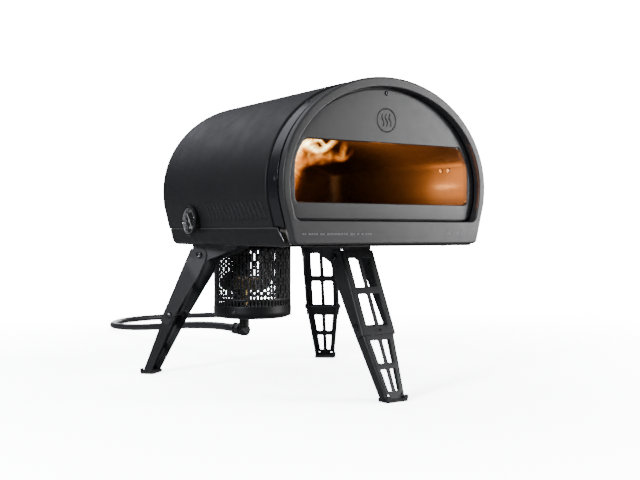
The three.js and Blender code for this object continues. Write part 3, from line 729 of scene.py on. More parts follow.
def flame_ribbon(name, route, wide, gain, phase, material):
    path = spline_points([at(*p) for p in route], 10)
    bm = bmesh.new()
    uv = bm.loops.layers.uv.new("heat")
    heat = {}
    rows = []
    count = len(path)
    for i, p in enumerate(path):
        t = i / (count - 1)
        onward = path[min(i + 1, count - 1)] - path[max(i - 1, 0)]
        side = onward.cross(Vector((0.5, 0.85, 0.25 * math.sin(6 * t + phase)))).normalized()
        spread = max(0, 1 - t / FLAME_SPREAD_END) ** 0.7 * min(1, 6 * t + 0.4)
        reach = wide * MM * (0.6 + 1.6 * spread)
        warm = min(1, 0.45 + 0.9 * t / FLAME_SPREAD_END) * gain * (1 - t ** 9)
        row = []
        for k in range(7):
            u = k / 3 - 1
            v = bm.verts.new(p + side * reach * (u + 0.12 * math.sin(9 * t + 4 * u + phase)))
            heat[v] = warm * (1 - abs(u)) ** 0.6
            row.append(v)
        rows.append(row)
    for a, b in zip(rows, rows[1:]):
        for k in range(6):
            for corner in bm.faces.new([a[k], a[k + 1], b[k + 1], b[k]]).loops:
                corner[uv].uv = (heat[corner.vert], 0)
    mesh = bpy.data.meshes.new(name)
    bm.to_mesh(mesh)
    bm.free()
    flame = bpy.data.objects.new(name, mesh)
    bpy.context.scene.collection.objects.link(flame)
    mesh.materials.append(material)
    mesh.shade_smooth()


def make_flames():
    """Five ribbons of flame that roll forward under the crown. They are not attached to any of the oven's
    bodies.
    """
    material = flame_material()
    # Each ribbon is a route in mm, a half width and a strength of heat. The route points weren't chosen by
    # hand: a helper worked them out from places picked on the photograph, nearly as they stand here.
    ribbons = [
        ([(10, 350, 300), (-6, 300, 352), (-34, 230, 390), (-46, 180, 396), (-34, 166, 383), (-21, 160, 377),
          (-9, 156, 382), (0, 151, 392), (8, 148, 398)], 12, 2.05),
        ([(24, 348, 300), (10, 290, 350), (-14, 230, 386), (-18, 172, 394), (-8, 160, 385), (2, 154, 392)],
         8, 1.9),
        ([(-30, 350, 300), (-52, 280, 340), (-62, 200, 348), (-57, 172, 350), (-45, 164, 356),
          (-34, 160, 362), (-20, 156, 366), (-4, 150, 364), (12, 145, 362), (24, 140, 370),
          (31, 136, 383)], 8, 0.85),
        ([(-20, 352, 300), (-40, 280, 352), (-60, 200, 362), (-52, 168, 368), (-47, 165, 377),
          (-44, 161, 386)], 14, 1.15),
        ([(40, 344, 306), (0, 270, 350), (-44, 190, 372), (-40, 158, 369), (-22, 150, 368), (-4, 146, 367),
          (11, 142, 366), (14, 144, 375), (16, 142, 385), (22, 140, 393)], 13, 1.0),
    ]
    for index, (route, wide, gain) in enumerate(ribbons):
        flame_ribbon(f"flame_{index + 1}", route, wide, gain, index, material)


# ---------------------------------------------------------------- base tray
def sheet_metal(piece, thickness, bevel=0.35, segments=2):
    """Gives an open surface its thickness, inwards, and softens its cut edges."""
    solid = piece.modifiers.new("thickness", "SOLIDIFY")
    solid.thickness = thickness * MM
    solid.offset = -1
    solid.use_even_offset = True
    edge = piece.modifiers.new("edges", "BEVEL")
    edge.width = bevel * MM
    edge.segments = segments
    edge.limit_method = "ANGLE"
    edge.angle_limit = math.radians(40)
    edge.use_clamp_overlap = False
    bpy.ops.object.select_all(action="DESELECT")
    bpy.context.view_layer.objects.active = piece
    piece.select_set(True)
    bpy.ops.object.convert(target="MESH")
    piece.data.shade_smooth()
    piece.data.set_sharp_from_angle(angle=math.radians(35))
    weigh_normals(piece)
    return piece


def along(value, stops):
    """Straight-line interpolation in a list of (value, result)."""
    for (v0, r0), (v1, r1) in zip(stops, stops[1:]):
        if value <= v1:
            return r0 + (r1 - r0) * max(0.0, value - v0) / (v1 - v0)
    return stops[-1][1]


def sweep(name, path, radius, material, sides=10):
    return loft(name, tube_rows(path, radius * MM, sides), material, ring=True, caps=True)


def make_tray():
    """The folded base pan: flat bottom, two skirts with a slanted front edge, and a rolled bead along them
    whose light grey colour is a painted highlight.
    """
    y0, y1, bottom, top = 12.4, 391, TRAY["bottom"], 252.4
    front = [(bottom, y0), (bottom + 2.2, y0), (bottom + 6, y0 + 9.5), (top, y0 + 21)]
    rear = [(bottom, y1 - 10), (bottom + 3, y1 - 3), (bottom + 10, y1), (top, y1)]
    half = [p for p in barrel(TRAY)[:12] if p[1] < top - 1]
    foot = barrel(TRAY)[8]
    slope = (TRAY["a"] - 2 - foot[0]) / (TRAY["zc"] - 25 - foot[1])
    steps = [bottom + d for d in (9.5, 11, 14, 18, 22)] + [top]
    half = half[:9] + [(foot[0] + (z - foot[1]) * slope, z) for z in steps if z > foot[1] + 0.4]
    path = [(-x, z) for x, z in reversed(half)] + half
    rows = []
    for x, z in path:
        near, far = along(z, front), along(z, rear)
        rows.append([at(x, near + (far - near) * t, z) for t in (0, 0.02, 0.25, 0.5, 0.75, 0.98, 1)])
    pan = loft("base_pan", rows, "black_steel", ring=False, smooth=math.radians(40))
    if pan.data.polygons[len(pan.data.polygons) // 2].normal.z > 0:
        pan.data.flip_normals()
    sheet_metal(pan, 1.6)
    bm = bmesh.new()
    outline = [(-167, bottom + 2), (167, bottom + 2), (169.5, top - 0.4), (-169.5, top - 0.4)]
    add_rows(bm, [[at(x, y, z) for x, z in outline] for y in (y1 - 12, y1 - 10.4)], True, False, caps=True)
    wall = from_bmesh("pan_rear_wall", bm, "black_steel")
    pan = joined("base_pan", [pan, wall])
    place(pan, "oven", "black_steel", "base_tray")
    # Beads along the skirts' top and front edges, coloured light grey: a painted highlight where the edges
    # catch the light.
    for side in (-1, 1):
        spots = [(y1 - 6, top)] + [(y0 + 26 + k * 20, top) for k in range(17, -1, -1)] + [
            (y0 + 20.6, top - 1), (y0 + 16, top - 9), (y0 + 10.4, bottom + 8)]
        line = []
        for y, z in spots:
            line.append(at(side * (foot[0] + (z - foot[1]) * slope + 0.1), y, z))
        highlight_hem = sweep("left_skirt_hem" if side < 0 else "right_skirt_hem", line, 0.75, "highlight_hem")
        place(highlight_hem, "oven", "black_steel")
    for index, (x, y) in enumerate([(-150, 60), (150, 60), (-150, 230), (150, 230), (0, 230), (0, 330)]):
        screw(f"pan_screw_{index + 1}", at(x, y, bottom), (0, 0, -1), 3.6, 1.6, "oven")


# ---------------------------------------------------------------- thermometer
def make_thermometer():
    centre = at(*DIAL)
    out = (-1, 0, 0)
    r = DIAL_R
    body = fillet([(0.01, 0.2), (r - 2, 0.2), (r, 1.2), (r, 5.0), (r - 1.4, 7.0), (r - 3.4, 7.0),
                   (r - 3.9, 6.2), (r - 3.9, 2.2), (0.01, 2.2)],
                  [0, 0.5, 0.8, 1.0, 1.0, 0.6, 0.3, 0, 0], 4)
    case = turned("thermometer_shell", body, centre, out, "case_black", 72)
    place(case, "oven", "dial_black", "thermometer_case")
    ring = fillet([(r - 4.0, 3.0), (r - 4.0, 6.6), (r - 4.8, 6.6), (r - 6.0, 3.0)], [0.2, 0.4, 0.4, 0.2], 3)
    bezel = turned("thermometer_ring", ring + [ring[0]], centre, out, "chrome", 72)
    place(bezel, "oven", "dial_black")
    face = turned("thermometer_face", [(0.01, 2.4), (r - 4, 2.4), (r - 4, 3.1), (0.01, 3.1)], centre, out,
                  "dial_black", 64)
    place(face, "oven", "dial_black", "thermometer_dial")

    def printed(bm, outline):
        add_rows(bm, [[Vector((centre.x - d * MM, centre.y + y * MM, centre.z + z * MM)) for y, z in outline]
                      for d in (3.05, 3.25)], True, False, caps=True)

    bm = bmesh.new()
    for k in range(31):
        angle = math.radians(-135 + 270 * k / 30)
        long_tick = k % 5 == 0
        r0, r1, w = (12.6 if long_tick else 14.8), 17.4, (0.5 if long_tick else 0.22)
        spoke = Vector((math.sin(angle), math.cos(angle)))
        side = Vector((spoke.y, -spoke.x))
        printed(bm, [spoke * r0 - side * w, spoke * r0 + side * w,
                     spoke * r1 + side * w, spoke * r1 - side * w])
    printed(bm, [(-3.6, -12), (3.6, -12), (3.6, -9.8), (-3.6, -9.8)])
    printed(bm, [(-2.2, -8.8), (2.2, -8.8), (2.2, -8.1), (-2.2, -8.1)])
    ticks = from_bmesh("thermometer_ticks", bm, "dial_white")
    place(ticks, "oven", "dial_white")

    angle = math.radians(38)  # the pointer's tip is down and towards the mouth
    tip = Vector((-math.sin(angle), -math.cos(angle)))
    side = Vector((tip.y, -tip.x))
    outline = [tip * -13 - side * 1.0, tip * 17.5 - side * 0.5, tip * 17.5 + side * 0.5,
               tip * -13 + side * 1.0]
    rows = [[Vector((centre.x - d * MM, centre.y + p.x * MM, centre.z + p.y * MM)) for p in
             [q * s for q in outline]] for d, s in ((4.0, 1), (4.5, 1), (4.7, 0.97))]
    blade = loft("needle_blade", rows, "dial_white", ring=True, caps=True)
    hub = turned("needle_hub", [(1.4, 3.3), (2.6, 4), (2.6, 4.9), (2.0, 5.2), (0.01, 5.2)], centre, out,
                 "dial_white", 32)
    needle = joined("dial_pointer", [blade, hub])
    place(needle, "needle", "dial_white", "thermometer_needle")
    pane = turned("thermometer_pane",
                  [(0.01, 5.5), (r - 4.4, 5.5), (r - 4.4, 6.1), (r - 7, 6.5), (0.01, 6.7)],
                  centre, out, "clear_glass", 64)
    place(pane, "oven", "clear_glass", "thermometer_glass")


# ---------------------------------------------------------------- burner can
def slot_cell(bm, lookup, a0, a1, z0, z1, hole):
    """One cell of the can's wall, unrolled: a rectangle with an oblong hole, or plain where hole is None."""
    def vert(a, z):
        key = (round(a, 4), round(z, 4))
        if key not in lookup:
            angle = a / CAN_R
            spot = at(CAN.x + CAN_R * math.cos(angle), CAN.y + CAN_R * math.sin(angle), z)
            lookup[key] = bm.verts.new(spot)
        return lookup[key]

    mid = (a0 + a1) / 2
    corners = [(a0, z0), (mid, z0), (a1, z0), (a1, z1), (mid, z1), (a0, z1)]
    if hole is None:
        bm.faces.new([vert(*c) for c in corners])
        return
    low, high, half = hole
    rim_low = [(mid + half * math.cos(t), low + half + half * math.sin(t))
               for t in [math.radians(d) for d in (180, 225, 270, 315, 360)]]
    rim_high = [(mid + half * math.cos(t), high - half + half * math.sin(t))
                for t in [math.radians(d) for d in (0, 45, 90, 135, 180)]]
    left = [(a0, z0), (mid, z0), rim_low[2], rim_low[1], rim_low[0], rim_high[4], rim_high[3], rim_high[2],
            (mid, z1), (a0, z1)]
    right = [(mid, z0), (a1, z0), (a1, z1), (mid, z1), rim_high[2], rim_high[1], rim_high[0], rim_low[4],
             rim_low[3], rim_low[2]]
    for outline in (left, right):
        corners = [vert(*c) for c in outline]
        bm.faces.new([v for i, v in enumerate(corners) if v != corners[i - 1]])


def make_can():
    """The perforated wall: short slots along the bottom, then slots and dots in turn up each column.

    Odd columns start with a shortened slot and the others with a dot.
    """
    bm = bmesh.new()
    lookup = {}
    columns, long_slot, dot, gap = 66, 17.0, 3.0, 4.2
    bottom, start, top = 96.0, 113.4, 221.4
    pitch = 2 * math.pi * CAN_R / columns
    for c in range(columns):
        a0, a1 = c * pitch, (c + 1) * pitch
        cells = [(bottom, start, None), (start, start + 13, (start + 2.2, start + 10.8, 1.45))]
        z = start + 13
        kinds = [long_slot, dot] if c % 2 else [dot, long_slot]
        index = 0
        while z + 6 < top - 4:
            size = kinds[index % 2]
            if index == 0 and c % 2:
                size = 9.0
            size = min(size, top - 5 - z - gap)
            cells.append((z, z + size + gap, (z + gap / 2, z + gap / 2 + size, 1.35)))
            z += size + gap
            index += 1
            if top - 5 - z - gap < 3.2:
                break
        cells.append((z, top, None))
        for low, high, hole in cells:
            slot_cell(bm, lookup, a0, a1, low, high, hole)
    bmesh.ops.remove_doubles(bm, verts=bm.verts, dist=1e-6)
    bmesh.ops.recalc_face_normals(bm, faces=bm.faces)
    mesh = bpy.data.meshes.new("can_wall")
    bm.to_mesh(mesh)
    bm.free()
    can = new_object("can_wall", mesh, "black_steel")
    solid = can.modifiers.new("thickness", "SOLIDIFY")
    solid.thickness = 1.4 * MM
    solid.offset = -1
    place(can, "oven", "black_steel", "burner_can")

    z = 92
    profile = fillet([(0.01, z), (CAN_R - 6, z), (CAN_R + 2, z + 7), (CAN_R + 2, z + 21),
                      (CAN_R + 0.4, z + 21), (CAN_R + 0.4, z + 3.4), (0.01, z + 3.4)],
                     [0, 5, 5, 0.6, 0.4, 1, 0], 6)
    base = turned("can_cup", profile, at(CAN.x, CAN.y, 0), (0, 0, 1), "black_steel", 96)
    place(base, "oven", "black_steel", "can_base")
    turn = math.radians(213)
    out = Vector((math.cos(turn), math.sin(turn), 0))
    screw("cup_screw", at(CAN.x, CAN.y, 105) + out * (CAN_R + 1.9) * MM, out, 3.3, 1.3, "oven",
          "can_base_screw")
    lid = fillet([(0.01, 221.8), (CAN_R, 221.8), (CAN_R, 223.6), (0.01, 223.6)], [0, 0.6, 0.6, 0], 3)
    top_lid = turned("can_cover", lid, at(CAN.x, CAN.y, 0), (0, 0, 1), "black_steel", 96)
    place(top_lid, "oven", "black_steel", "can_lid")


def make_knob():
    """The gas control: a fluted knob with an index line, on its stem."""
    origin = at(0, 0, VALVE_Z)
    lo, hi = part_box("control_knob")
    y0, y1 = lo[1] / MM - FRONT_Y, hi[1] / MM - FRONT_Y

    def fluted(r, h, angle):
        if r < 15 or h > y1 - 2:
            return r
        return r - 1.3 * max(0.0, math.cos(angle * 12)) ** 3

    profile = fillet([(0.01, y0), (17.5, y0), (18.9, y0 + 3), (17.6, y1 - 2), (14.5, y1), (0.01, y1 - 1)],
                     [0, 1, 1.2, 1.6, 1.2, 0], 5)
    grip = turned("knob_grip", profile, origin, (0, 1, 0), "knob_plastic", 144, math.radians(28), fluted)
    bm = bmesh.new()
    rows = []
    for grow, y in ((0, y1 - 1.4), (0, y1 + 0.0), (-0.2, y1 + 0.15)):
        rows.append([at(x, y, VALVE_Z + z) for x, z in
                     [(-0.8 - grow, 5), (0.8 + grow, 5), (0.8 + grow, 13.5), (-0.8 - grow, 13.5)]])
    add_rows(bm, rows, True, False, caps=True)
    line = from_bmesh("knob_line", bm, "dial_white")
    place(line, "gas_knob", "dial_white")
    place(grip, "gas_knob", "knob_plastic", "control_knob")


# ---------------------------------------------------------------- gas line
# Chosen in plan. A helper's sag formula gave the heights, apart from the last three points.
HOSE_ROUTE = [
    (0, 488, 65), (0, 525, 64.5), (0, 570, 62.7), (1, 630, 58.7), (3, 700, 52.5),
    (5, 780, 44.2), (7, 870, 34.6), (8, 960, 25.7), (9, 1045, 18.7), (14, 1125, 13.7),
    (30, 1197, 10.6), (62, 1262, 8.7), (108, 1315, 8), (168, 1348, 7.8), (235, 1360, 7.8),
    (300, 1356, 7.8), (352, 1344, 7.8), (398, 1330, 7.8),
]
HOSE_R = 7.5


def spline_points(points, per_span):
    """A smooth curve through points (uniform Catmull-Rom)."""
    ext = [points[0] * 2 - points[1], *points, points[-1] * 2 - points[-2]]
    out = []
    for i in range(1, len(ext) - 2):
        p0, p1, p2, p3 = ext[i - 1:i + 3]
        for k in range(per_span):
            t = k / per_span
            out.append(0.5 * (p1 * 2 + (p2 - p0) * t + (p0 * 2 - p1 * 5 + p2 * 4 - p3) * t * t
                              + (p1 * 3 - p0 - p2 * 3 + p3) * t ** 3))
    return out + [points[-1]]


def tube_rows(path, radius, sides):
    rows = []
    for i, p in enumerate(path):
        along = (path[min(i + 1, len(path) - 1)] - path[max(i - 1, 0)]).normalized()
        side = along.cross(Vector((0, 0, 1))).normalized()
        up = side.cross(along)
        rows.append([p + (side * math.cos(t) + up * math.sin(t)) * radius for t in
                     [2 * math.pi * k / sides for k in range(sides)]])
    return rows


def make_gas_line():
    path = spline_points([at(*p) for p in HOSE_ROUTE], 8)
    hose = loft("rubber_hose", tube_rows(path, HOSE_R * MM, 24), "hose", ring=True, caps=True)
    place(hose, "oven", "rubber", "gas_hose")
    length = sum((b - a).length for a, b in zip(path, path[1:]))

    origin = at(0, 0, 65)
    y = 447
    def hexed(r, h, angle):
        if r < 10.5:
            return r
        return r * math.cos(math.pi / 6) / math.cos((angle % (math.pi / 3)) - math.pi / 6)

    drop = [(0.01, 54.6), (6.5, 54.6), (9.0, 56.6), (9.5, 60), (9.5, 76), (9.5, 84), (11.2, 84.6),
            (11.2, 90.6), (9.5, 91.4), (9.5, 110.6), (0.01, 110.6)]
    down = turned("elbow_drop", drop, at(0, y, 0), (0, 0, 1), "black_steel", 48, SMOOTH, hexed)
    across = [(0.01, y - 10.4), (6.5, y - 10.4), (9.2, y - 7.6), (9.5, y + 6), (12.6, y + 7.4),
              (12.6, y + 17), (10.4, y + 18), (10.4, 471.8), (0.01, 471.8)]
    run = turned("elbow_run", across, origin, (0, 1, 0), "black_steel", 48, SMOOTH, hexed)
    elbow = joined("inlet_elbow", [down, run])
    place(elbow, "oven", "black_steel", "gas_elbow")
    nut = [(0.01, 472.2), (11.4, 472.2), (12.4, 473.2), (12.4, 480.2), (11.4, 481.2), (9.8, 481.6),
           (9.6, 483.4), (8.9, 484), (9.4, 484.8), (8.7, 486), (9.0, 487), (8.4, 489.6), (0.01, 489.6)]
    swivel = turned("hose_swivel", nut, origin, (0, 1, 0), "case_black", 48, SMOOTH, hexed)
    place(swivel, "oven", "black_steel", "hose_nut")

    end, before = path[-1], path[-2]
    heading = (end - before).normalized()
    collar = [(0.01, 0.3), (7.6, 0.3), (8.1, 0.8), (8.1, 4), (7.4, 4.6), (8.1, 5.2), (8.1, 8.8), (7.4, 9.4),
              (8.1, 10), (8.1, 13.6), (9.0, 14.2), (9.2, 15), (9.2, 21.4), (8.8, 22), (0.01, 22)]
    def hexed_small(r, h, angle):
        if r < 7.9 or h < 12 or 22.2 < h < 80:
            return r
        return r * math.cos(math.pi / 6) / math.cos((angle % (math.pi / 3)) - math.pi / 6)

    ferrule = turned("hose_collar", collar, end, heading, "brass", 48, SMOOTH, hexed_small)
    place(ferrule, "oven", "brass", "hose_ferrule")

    drum_centre = end + heading * 48 * MM
    drum = fillet([(0.01, -7), (21, -7), (26, -4), (26, -0.8), (27.4, -0.6), (27.4, 1.2), (26, 1.4),
                   (26, 6), (22, 10), (13.4, 13), (12.4, 18.8), (0.01, 19)],
                  [0, 2, 2, 0.3, 0.4, 0.4, 0.3, 2, 2, 1.5, 1.5, 0], 4)
    body = turned("regulator_drum", drum, drum_centre, (0, 0, 1), "plain_steel", 72)
    port_a = turned("regulator_port_a", [(0.01, 22.3), (6, 22.3), (6, 26), (0.01, 27)], end, heading,
                    "plain_steel", 32)
    port_b = turned("regulator_port_b", [(0.01, 70), (7, 70), (7, 80), (0.01, 80)], end, heading,
                    "plain_steel", 32)
    regulator = joined("gas_regulator", [body, port_a, port_b])
    place(regulator, "oven", "steel", "regulator")
    wheel = turned("regulator_wheel",
                   [(0.01, 80.3), (7.4, 80.3), (8.2, 81.2), (8.2, 95), (7.5, 96), (0.01, 96)],
                   end, heading, "brass", 48, SMOOTH, hexed_small)
    place(wheel, "oven", "brass", "regulator_nut")
    tuple(path[0])
    [tuple(p) for p in path]


# ---------------------------------------------------------------- legs
def channel(name, put, stations, width, low, high, web, web_span, bend, holes, material, trim=None):
    """A folded channel. Stations run down the leg; width, low and high give each station's half-width and
    the flange's depth range; web_span is where the web is; holes are outlines through it."""
    bm = bmesh.new()
    spots = {}

    def vert(x, n, l):
        key = (round(x, 4), round(n, 4), round(l, 4))
        if key not in spots:
            spots[key] = bm.verts.new(put(x, n, l))
        return spots[key]

    def face(*corners):
        kept = [v for i, v in enumerate(corners) if v != corners[i - 1]]
        if len(kept) > 2:
            bm.faces.new(kept)

    def bend_points(side, l):
        w = width(l)
        turn = [math.radians(90 * k / 4) for k in range(5)]
        return [vert(side * (w - bend + bend * math.cos(t)), web - bend + bend * math.sin(t), l)
                for t in turn]

    for side in (-1, 1):
        for l0, l1 in zip(stations, stations[1:]):
            corners = [vert(side * width(l0), low(l0), l0), vert(side * width(l0), high(l0), l0),
                       vert(side * width(l1), high(l1), l1), vert(side * width(l1), low(l1), l1)]
            face(*(corners if side > 0 else corners[::-1]))
            if web_span[0] <= l0 and l1 <= web_span[1]:
                a, b = bend_points(side, l0), bend_points(side, l1)
                for k in range(4):
                    corners = [a[k], a[k + 1], b[k + 1], b[k]]
                    face(*(corners if side > 0 else corners[::-1]))
    inside = [l for l in stations if web_span[0] <= l <= web_span[1]]
    rim = ([vert(width(l) - bend, web, l) for l in inside]
           + [vert(bend - width(l), web, l) for l in inside[::-1]])
    loops = [rim] + [[vert(x, web, l) for x, l in hole] for hole in holes]
    edges = []
    for loop in loops:
        for i, v in enumerate(loop):
            other = loop[i - 1]
            edges.append(bm.edges.get((v, other)) or bm.edges.new((v, other)))
    bmesh.ops.triangle_fill(bm, use_beauty=True, edges=edges)
    if trim:
        bmesh.ops.bisect_plane(bm, geom=bm.verts[:] + bm.edges[:] + bm.faces[:], plane_co=trim,
                               plane_no=(0, 0, -1), clear_outer=True)
    bmesh.ops.recalc_face_normals(bm, faces=bm.faces)
    outward = (put(0, web + 1, 150) - put(0, web, 150)).normalized()
    front = max(bm.faces, key=lambda f: abs(f.normal.dot(outward)))
    if front.normal.dot(outward) < 0:
        bmesh.ops.reverse_faces(bm, faces=bm.faces)
    mesh = bpy.data.meshes.new(name)
    bm.to_mesh(mesh)
    bm.free()
    return sheet_metal(new_object(name, mesh, material), SHEET, 0.4)


def window_pair(x0, x1, l0, l1, width=None):
    """Two mirrored openings with rounded corners; width, if given, slants their outer sides with the leg."""
    far0, far1 = (x1, x1) if width is None else (width(l0) - x1, width(l1) - x1)
    right = fillet([(x0, l0), (far0, l0), (far1, l1), (x0, l1)], 2.6, 4)
    return [right, [Vector((-p.x, p.y)) for p in right]]


def circle(x, l, r, steps=14):
    return [Vector((x + r * math.cos(2 * math.pi * k / steps), l + r * math.sin(2 * math.pi * k / steps)))
            for k in range(steps)]


def bevelled_plate(bm, outline, low, high, put, chamfer=0.35):
    """A flat plate: outline points (u, v) and two levels, mapped by put(u, v, level)."""
    rows = []
    for grow, level in ((-chamfer, low), (0, low + chamfer), (0, high - chamfer), (-chamfer, high)):
        rows.append([put(u, v, level) for u, v in offset_loop(outline, grow)])
    add_rows(bm, rows, True, False, caps=True)


def make_leg(name, heading):
    turn = math.radians(heading)
    across = Vector((math.cos(turn), math.sin(turn), 0))
    out = Vector((-math.sin(turn), math.cos(turn), 0))
    up = Vector((0, 0, 1))
    pivot = Vector(next(j for j in frame["joints"] if j["name"] == f"{name}_leg_fold")["pos_m"])
    n_axis = out * math.cos(LEAN) + up * math.sin(LEAN)
    down = out * math.sin(LEAN) - up * math.cos(LEAN)

    def put(x, n, l):
        return pivot + (across * x + n_axis * n + down * l) * MM

    def level(x, n, z):
        return pivot + (across * x + out * n + up * z) * MM

    # upper channel
    head = 13.5
    stations = sorted({-13.3, -12.4, -10.5, -7.5, -3, 0, 8, 14, 30, 45, 60, 80, 100, 118, LEG_END})
    low = lambda l: -math.sqrt(max(0, head ** 2 - l * l)) if l < 0 else along(
        l, [(0, -head), (30, -head), (100, -4), (LEG_END, 2)])
    high = lambda l: min(17.0, LEG_WEB * (l + head) / 10.5)
    holes = window_pair(3.4, 19.6, 10, 58) + window_pair(3.4, 19.6, 69, 121)
    holes.append(fillet([(-5, 125.6), (5, 125.6), (5, 128.6), (-5, 128.6)], 1.2, 3))
    upper = channel(f"{name}_leg_channel", put, stations, lambda l: LEG_HALF, low, high, LEG_WEB,
                    (-3, LEG_END), 3.0, holes, "leg_steel")
    place(upper, f"{name}_leg", "leg_steel", f"{name}_leg_upper")

    # lower channel
    width = lambda l: along(l, [(100, SHIN_HALF), (SHIN_FULL_L, SHIN_HALF), (SHIN_TOE_L, SHIN_TOE_HALF)])
    r = 10
    web_top = KNEE_L + 1.6
    stations = sorted({KNEE_L - 9.8, KNEE_L - 8.5, KNEE_L - 6, KNEE_L - 3, KNEE_L, web_top, 126,
                       SHIN_FULL_L, 140, 160, 180, 200, 220, 236})

    def shin_low(l):
        if l < KNEE_L:
            return KNEE_N - math.sqrt(r * r - (KNEE_L - l) ** 2)
        return along(l, [(KNEE_L, KNEE_N - r), (140, -0.8), (250, 3.7)])

    def shin_high(l):
        if l < KNEE_L:
            return min(KNEE_N + math.sqrt(r * r - (KNEE_L - l) ** 2), SHIN_WEB - 3)
        return SHIN_WEB - 3

    holes = window_pair(3.2, 9.6, 142, 178, width) + window_pair(3.2, 9.0, 187, 221, width)
    holes += [circle(-11.8, 226.6, 1.6), circle(11.8, 226.6, 1.6)]
    lower = channel(f"{name}_shin_channel", put, stations, width, shin_low, shin_high, SHIN_WEB,
                    (web_top, 236), 3.0, holes, "leg_steel", trim=Vector((0, 0, 0.0046)))
    place(lower, f"{name}_shin", "leg_steel", f"{name}_leg_lower")

    # rubber sole with two corner clips round the toe
    base = -pivot.z / MM
    bm = bmesh.new()
    sole = fillet([(-20, 94), (20, 94), (20, 118.6), (-20, 118.6)], [5, 5, 4, 4], 5)
    rows = []
    for grow, z in ((-1.2, 0), (-0.2, 0.8), (0, 2), (0, 4.0), (-0.5, 4.7), (-1.3, 5.0)):
        rows.append([level(x, n, base + z) for x, n in offset_loop(sole, grow)])
    add_rows(bm, rows, True, False, caps=True)
    for side in (-1, 1):
        clip = fillet([(side * 12.6, 114.8), (side * 20, 114.8), (side * 20, 118.6),
                       (side * 12.6, 118.6)][::side], [0.6, 1.4, 2.4, 0.6][::side], 4)
        rows = []
        for grow, z in ((0, 3.6), (0, 8.6), (-0.5, 9.4), (-1.1, 9.7)):
            rows.append([level(x, n, base + z) for x, n in offset_loop(clip, grow)])
        add_rows(bm, rows, True, False, caps=True)
    sole_piece = from_bmesh(f"{name}_foot_sole", bm, "rubber")
    place(sole_piece, f"{name}_shin", "rubber", f"{name}_foot_pad")

    # bracket: two ears under one roof plate
    bm = bmesh.new()
    roof = TRAY["bottom"] - 0.3 - pivot.z / MM
    ear = [Vector((13.4 * math.cos(math.radians(d)), 13.4 * math.sin(math.radians(d))))
           for d in range(-110, 1, 10)]
    ear += [Vector((13.4, roof)), Vector((-66, roof)), Vector((-66, 11.5))]
    for low_x, high_x in ((26.7, 28.6), (-28.6, -26.7)):
        bevelled_plate(bm, ear, low_x, high_x, lambda u, v, x: level(x, u, v))
    bevelled_plate(bm, [(-28.6, -66), (28.6, -66), (28.6, 13.4), (-28.6, 13.4)], roof - 2, roof,
                   lambda u, v, z: level(u, v, z))
    bracket = from_bmesh(f"{name}_bracket", bm, "leg_steel", math.radians(25))
    place(bracket, "oven", "leg_steel", f"{name}_leg_bracket")

    for side, index in ((1, 1), (-1, 2)):
        screw(f"{name}_pivot_head_{3 - index}", put(side * (LEG_HALF + 0.1), 0, 0), across * side, 5.8, 2.8,
              "oven", f"{name}_pivot_bolt_{3 - index}")
        screw(f"{name}_knee_head_{3 - index}", put(side * (LEG_HALF + 0.1), KNEE_N, KNEE_L), across * side,
              5.3, 2.4, f"{name}_leg")


# ---------------------------------------------------------------- CAD pieces that keep their shape
def finish_cad_nodes():
    looks = {"outer_shell": "black_steel", "insulation_blanket": "insulation",
             "floor_insulation": "insulation", "stone_support": "plain_steel",
             "burner_tube": "plain_steel", "burner_head": "plain_steel",
             "gas_valve": "brass", "gas_jet": "brass", "valve_stem": "plain_steel",
             "igniter_electrode": "ceramic"}
    for leg in ("front", "rear_left", "rear_right"):
        looks[f"{leg}_knee_pin"] = "screw_steel"
    for node, material in looks.items():
        mesh = frame["nodes"][node].data
        mesh.materials.clear()
        mesh.materials.append(MATERIALS[material])


# ---------------------------------------------------------------- stage and light
def camera_only(tree, seen, lit, output):
    """Shows one shader to the camera and another to every other ray."""
    path = tree.nodes.new("ShaderNodeLightPath")
    mix = tree.nodes.new("ShaderNodeMixShader")
    tree.links.new(path.outputs["Is Camera Ray"], mix.inputs[0])
    tree.links.new(lit, mix.inputs[1])
    tree.links.new(seen, mix.inputs[2])
    tree.links.new(mix.outputs[0], output.inputs["Surface"])


def make_stage():
    bpy.ops.mesh.primitive_plane_add(size=60, location=(0, 0, -0.0002))
    floor = bpy.context.object
    floor.name = "studio_floor"
    material = bpy.data.materials.new("studio_floor")
    material.use_nodes = True
    tree = material.node_tree
    bsdf = tree.nodes["Principled BSDF"]
    bsdf.inputs["Base Color"].default_value = (0.42, 0.42, 0.42, 1)
    bsdf.inputs["Roughness"].default_value = 0.6
    bright = tree.nodes.new("ShaderNodeBsdfDiffuse")
    bright.inputs["Color"].default_value = (13, 13, 13, 1)
    lift = tree.nodes.new("ShaderNodeEmission")
    coords = tree.nodes.new("ShaderNodeTexCoord")
    reach = tree.nodes.new("ShaderNodeVectorMath")
    reach.operation = "LENGTH"
    tree.links.new(coords.outputs["Object"], reach.inputs[0])
    fade = tree.nodes.new("ShaderNodeMapRange")
    for key, number in (("From Min", 0.5), ("From Max", 2.6), ("To Min", 1.8), ("To Max", 15)):
        fade.inputs[key].default_value = number
    tree.links.new(reach.outputs["Value"], fade.inputs["Value"])
    tree.links.new(fade.outputs["Result"], lift.inputs["Strength"])
    seen = tree.nodes.new("ShaderNodeAddShader")
    tree.links.new(bright.outputs[0], seen.inputs[0])
    tree.links.new(lift.outputs[0], seen.inputs[1])
    camera_only(tree, seen.outputs[0], bsdf.outputs[0], tree.nodes["Material Output"])
    floor.data.materials.append(material)


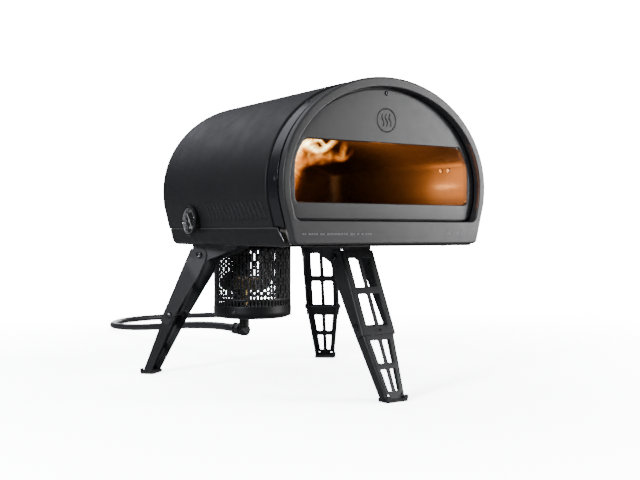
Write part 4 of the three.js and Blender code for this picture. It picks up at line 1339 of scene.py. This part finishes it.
def make_world():
    """Near white behind the object; for lighting, a soft dome that is brighter overhead."""
    world = bpy.data.worlds.new("studio")
    bpy.context.scene.world = world
    world.use_nodes = True
    tree = world.node_tree
    coords = tree.nodes.new("ShaderNodeTexCoord")
    split = tree.nodes.new("ShaderNodeSeparateXYZ")
    tree.links.new(coords.outputs["Generated"], split.inputs[0])
    rise = tree.nodes.new("ShaderNodeMapRange")
    for key, number in (("From Min", 0.0), ("From Max", 0.9), ("To Min", 0.04), ("To Max", 0.42)):
        rise.inputs[key].default_value = number
    tree.links.new(split.outputs["Z"], rise.inputs["Value"])
    dome = tree.nodes["Background"]
    dome.inputs["Color"].default_value = (0.93, 0.95, 1, 1)
    tree.links.new(rise.outputs["Result"], dome.inputs["Strength"])
    seen = tree.nodes.new("ShaderNodeBackground")
    seen.inputs["Strength"].default_value = 24
    camera_only(tree, seen.outputs[0], dome.outputs[0], tree.nodes["World Output"])


def area_light(name, spot, aim, size, power, colour=(1, 1, 1)):
    data = bpy.data.lights.new(name, "AREA")
    data.shape = "RECTANGLE"
    data.size, data.size_y = size
    data.energy = power
    data.color = colour
    lamp = bpy.data.objects.new(name, data)
    bpy.context.scene.collection.objects.link(lamp)
    lamp.location = spot
    lamp.rotation_euler = (Vector(aim) - Vector(spot)).to_track_quat("-Z", "Y").to_euler()
    return lamp


def make_lights():
    area_light("top_softbox", (-0.6, 0.2, 1.9), (-0.1, 0, 0.35), (1.2, 1.2), 2.5, (0.95, 0.97, 1))
    area_light("back_softbox", (-0.35, 2.4, 1.75), (-0.1, 0, 0.35), (1.7, 0.9), 6, (0.9, 0.92, 1))
    area_light("front_softbox", (2.1, -1.75, 0.6), (0, -0.1, 0.3), (1.1, 0.9), 54)
    area_light("left_strip", (-2.4, -0.9, 0.95), (-0.2, 0.1, 0.1), (0.6, 0.5), 38, (0.9, 0.93, 1))
    area_light("rear_fill", (1.1, 2.6, 0.45), (0, 0.2, 0.25), (1.4, 0.8), 30, (0.95, 0.97, 1))
    # Small lights inside the chamber stand in for the fire's glow on the liner.
    area_light("flame_glow", at(-20, 200, 372), at(161, 60, 350), (0.10, 0.05), 0.03, EMBER)
    area_light("crown_glow", at(-70, 140, 380), at(161, 84, 376), (0.10, 0.03), 0.05, EMBER)
    area_light("ceiling_glow", at(50, 130, 335), at(110, 110, 396), (0.12, 0.08), 0.6, EMBER)
    area_light("wall_streak", at(145, 84, 321), at(200, 84, 321), (0.05, 0.002), 0.018, BRIGHT_EMBER)


# ---------------------------------------------------------------- build
make_gas_line()
make_bezel()
make_plate()
make_heat_mark()
make_prints()
make_barrel()
make_rear()
make_tray()
make_chamber()
make_flames()
make_thermometer()
make_can()
make_knob()
for leg_name, leg_heading in (("front", 180), ("rear_left", 39.2), ("rear_right", -39.2)):
    make_leg(leg_name, leg_heading)
finish_cad_nodes()
make_stage()
make_world()
make_lights()
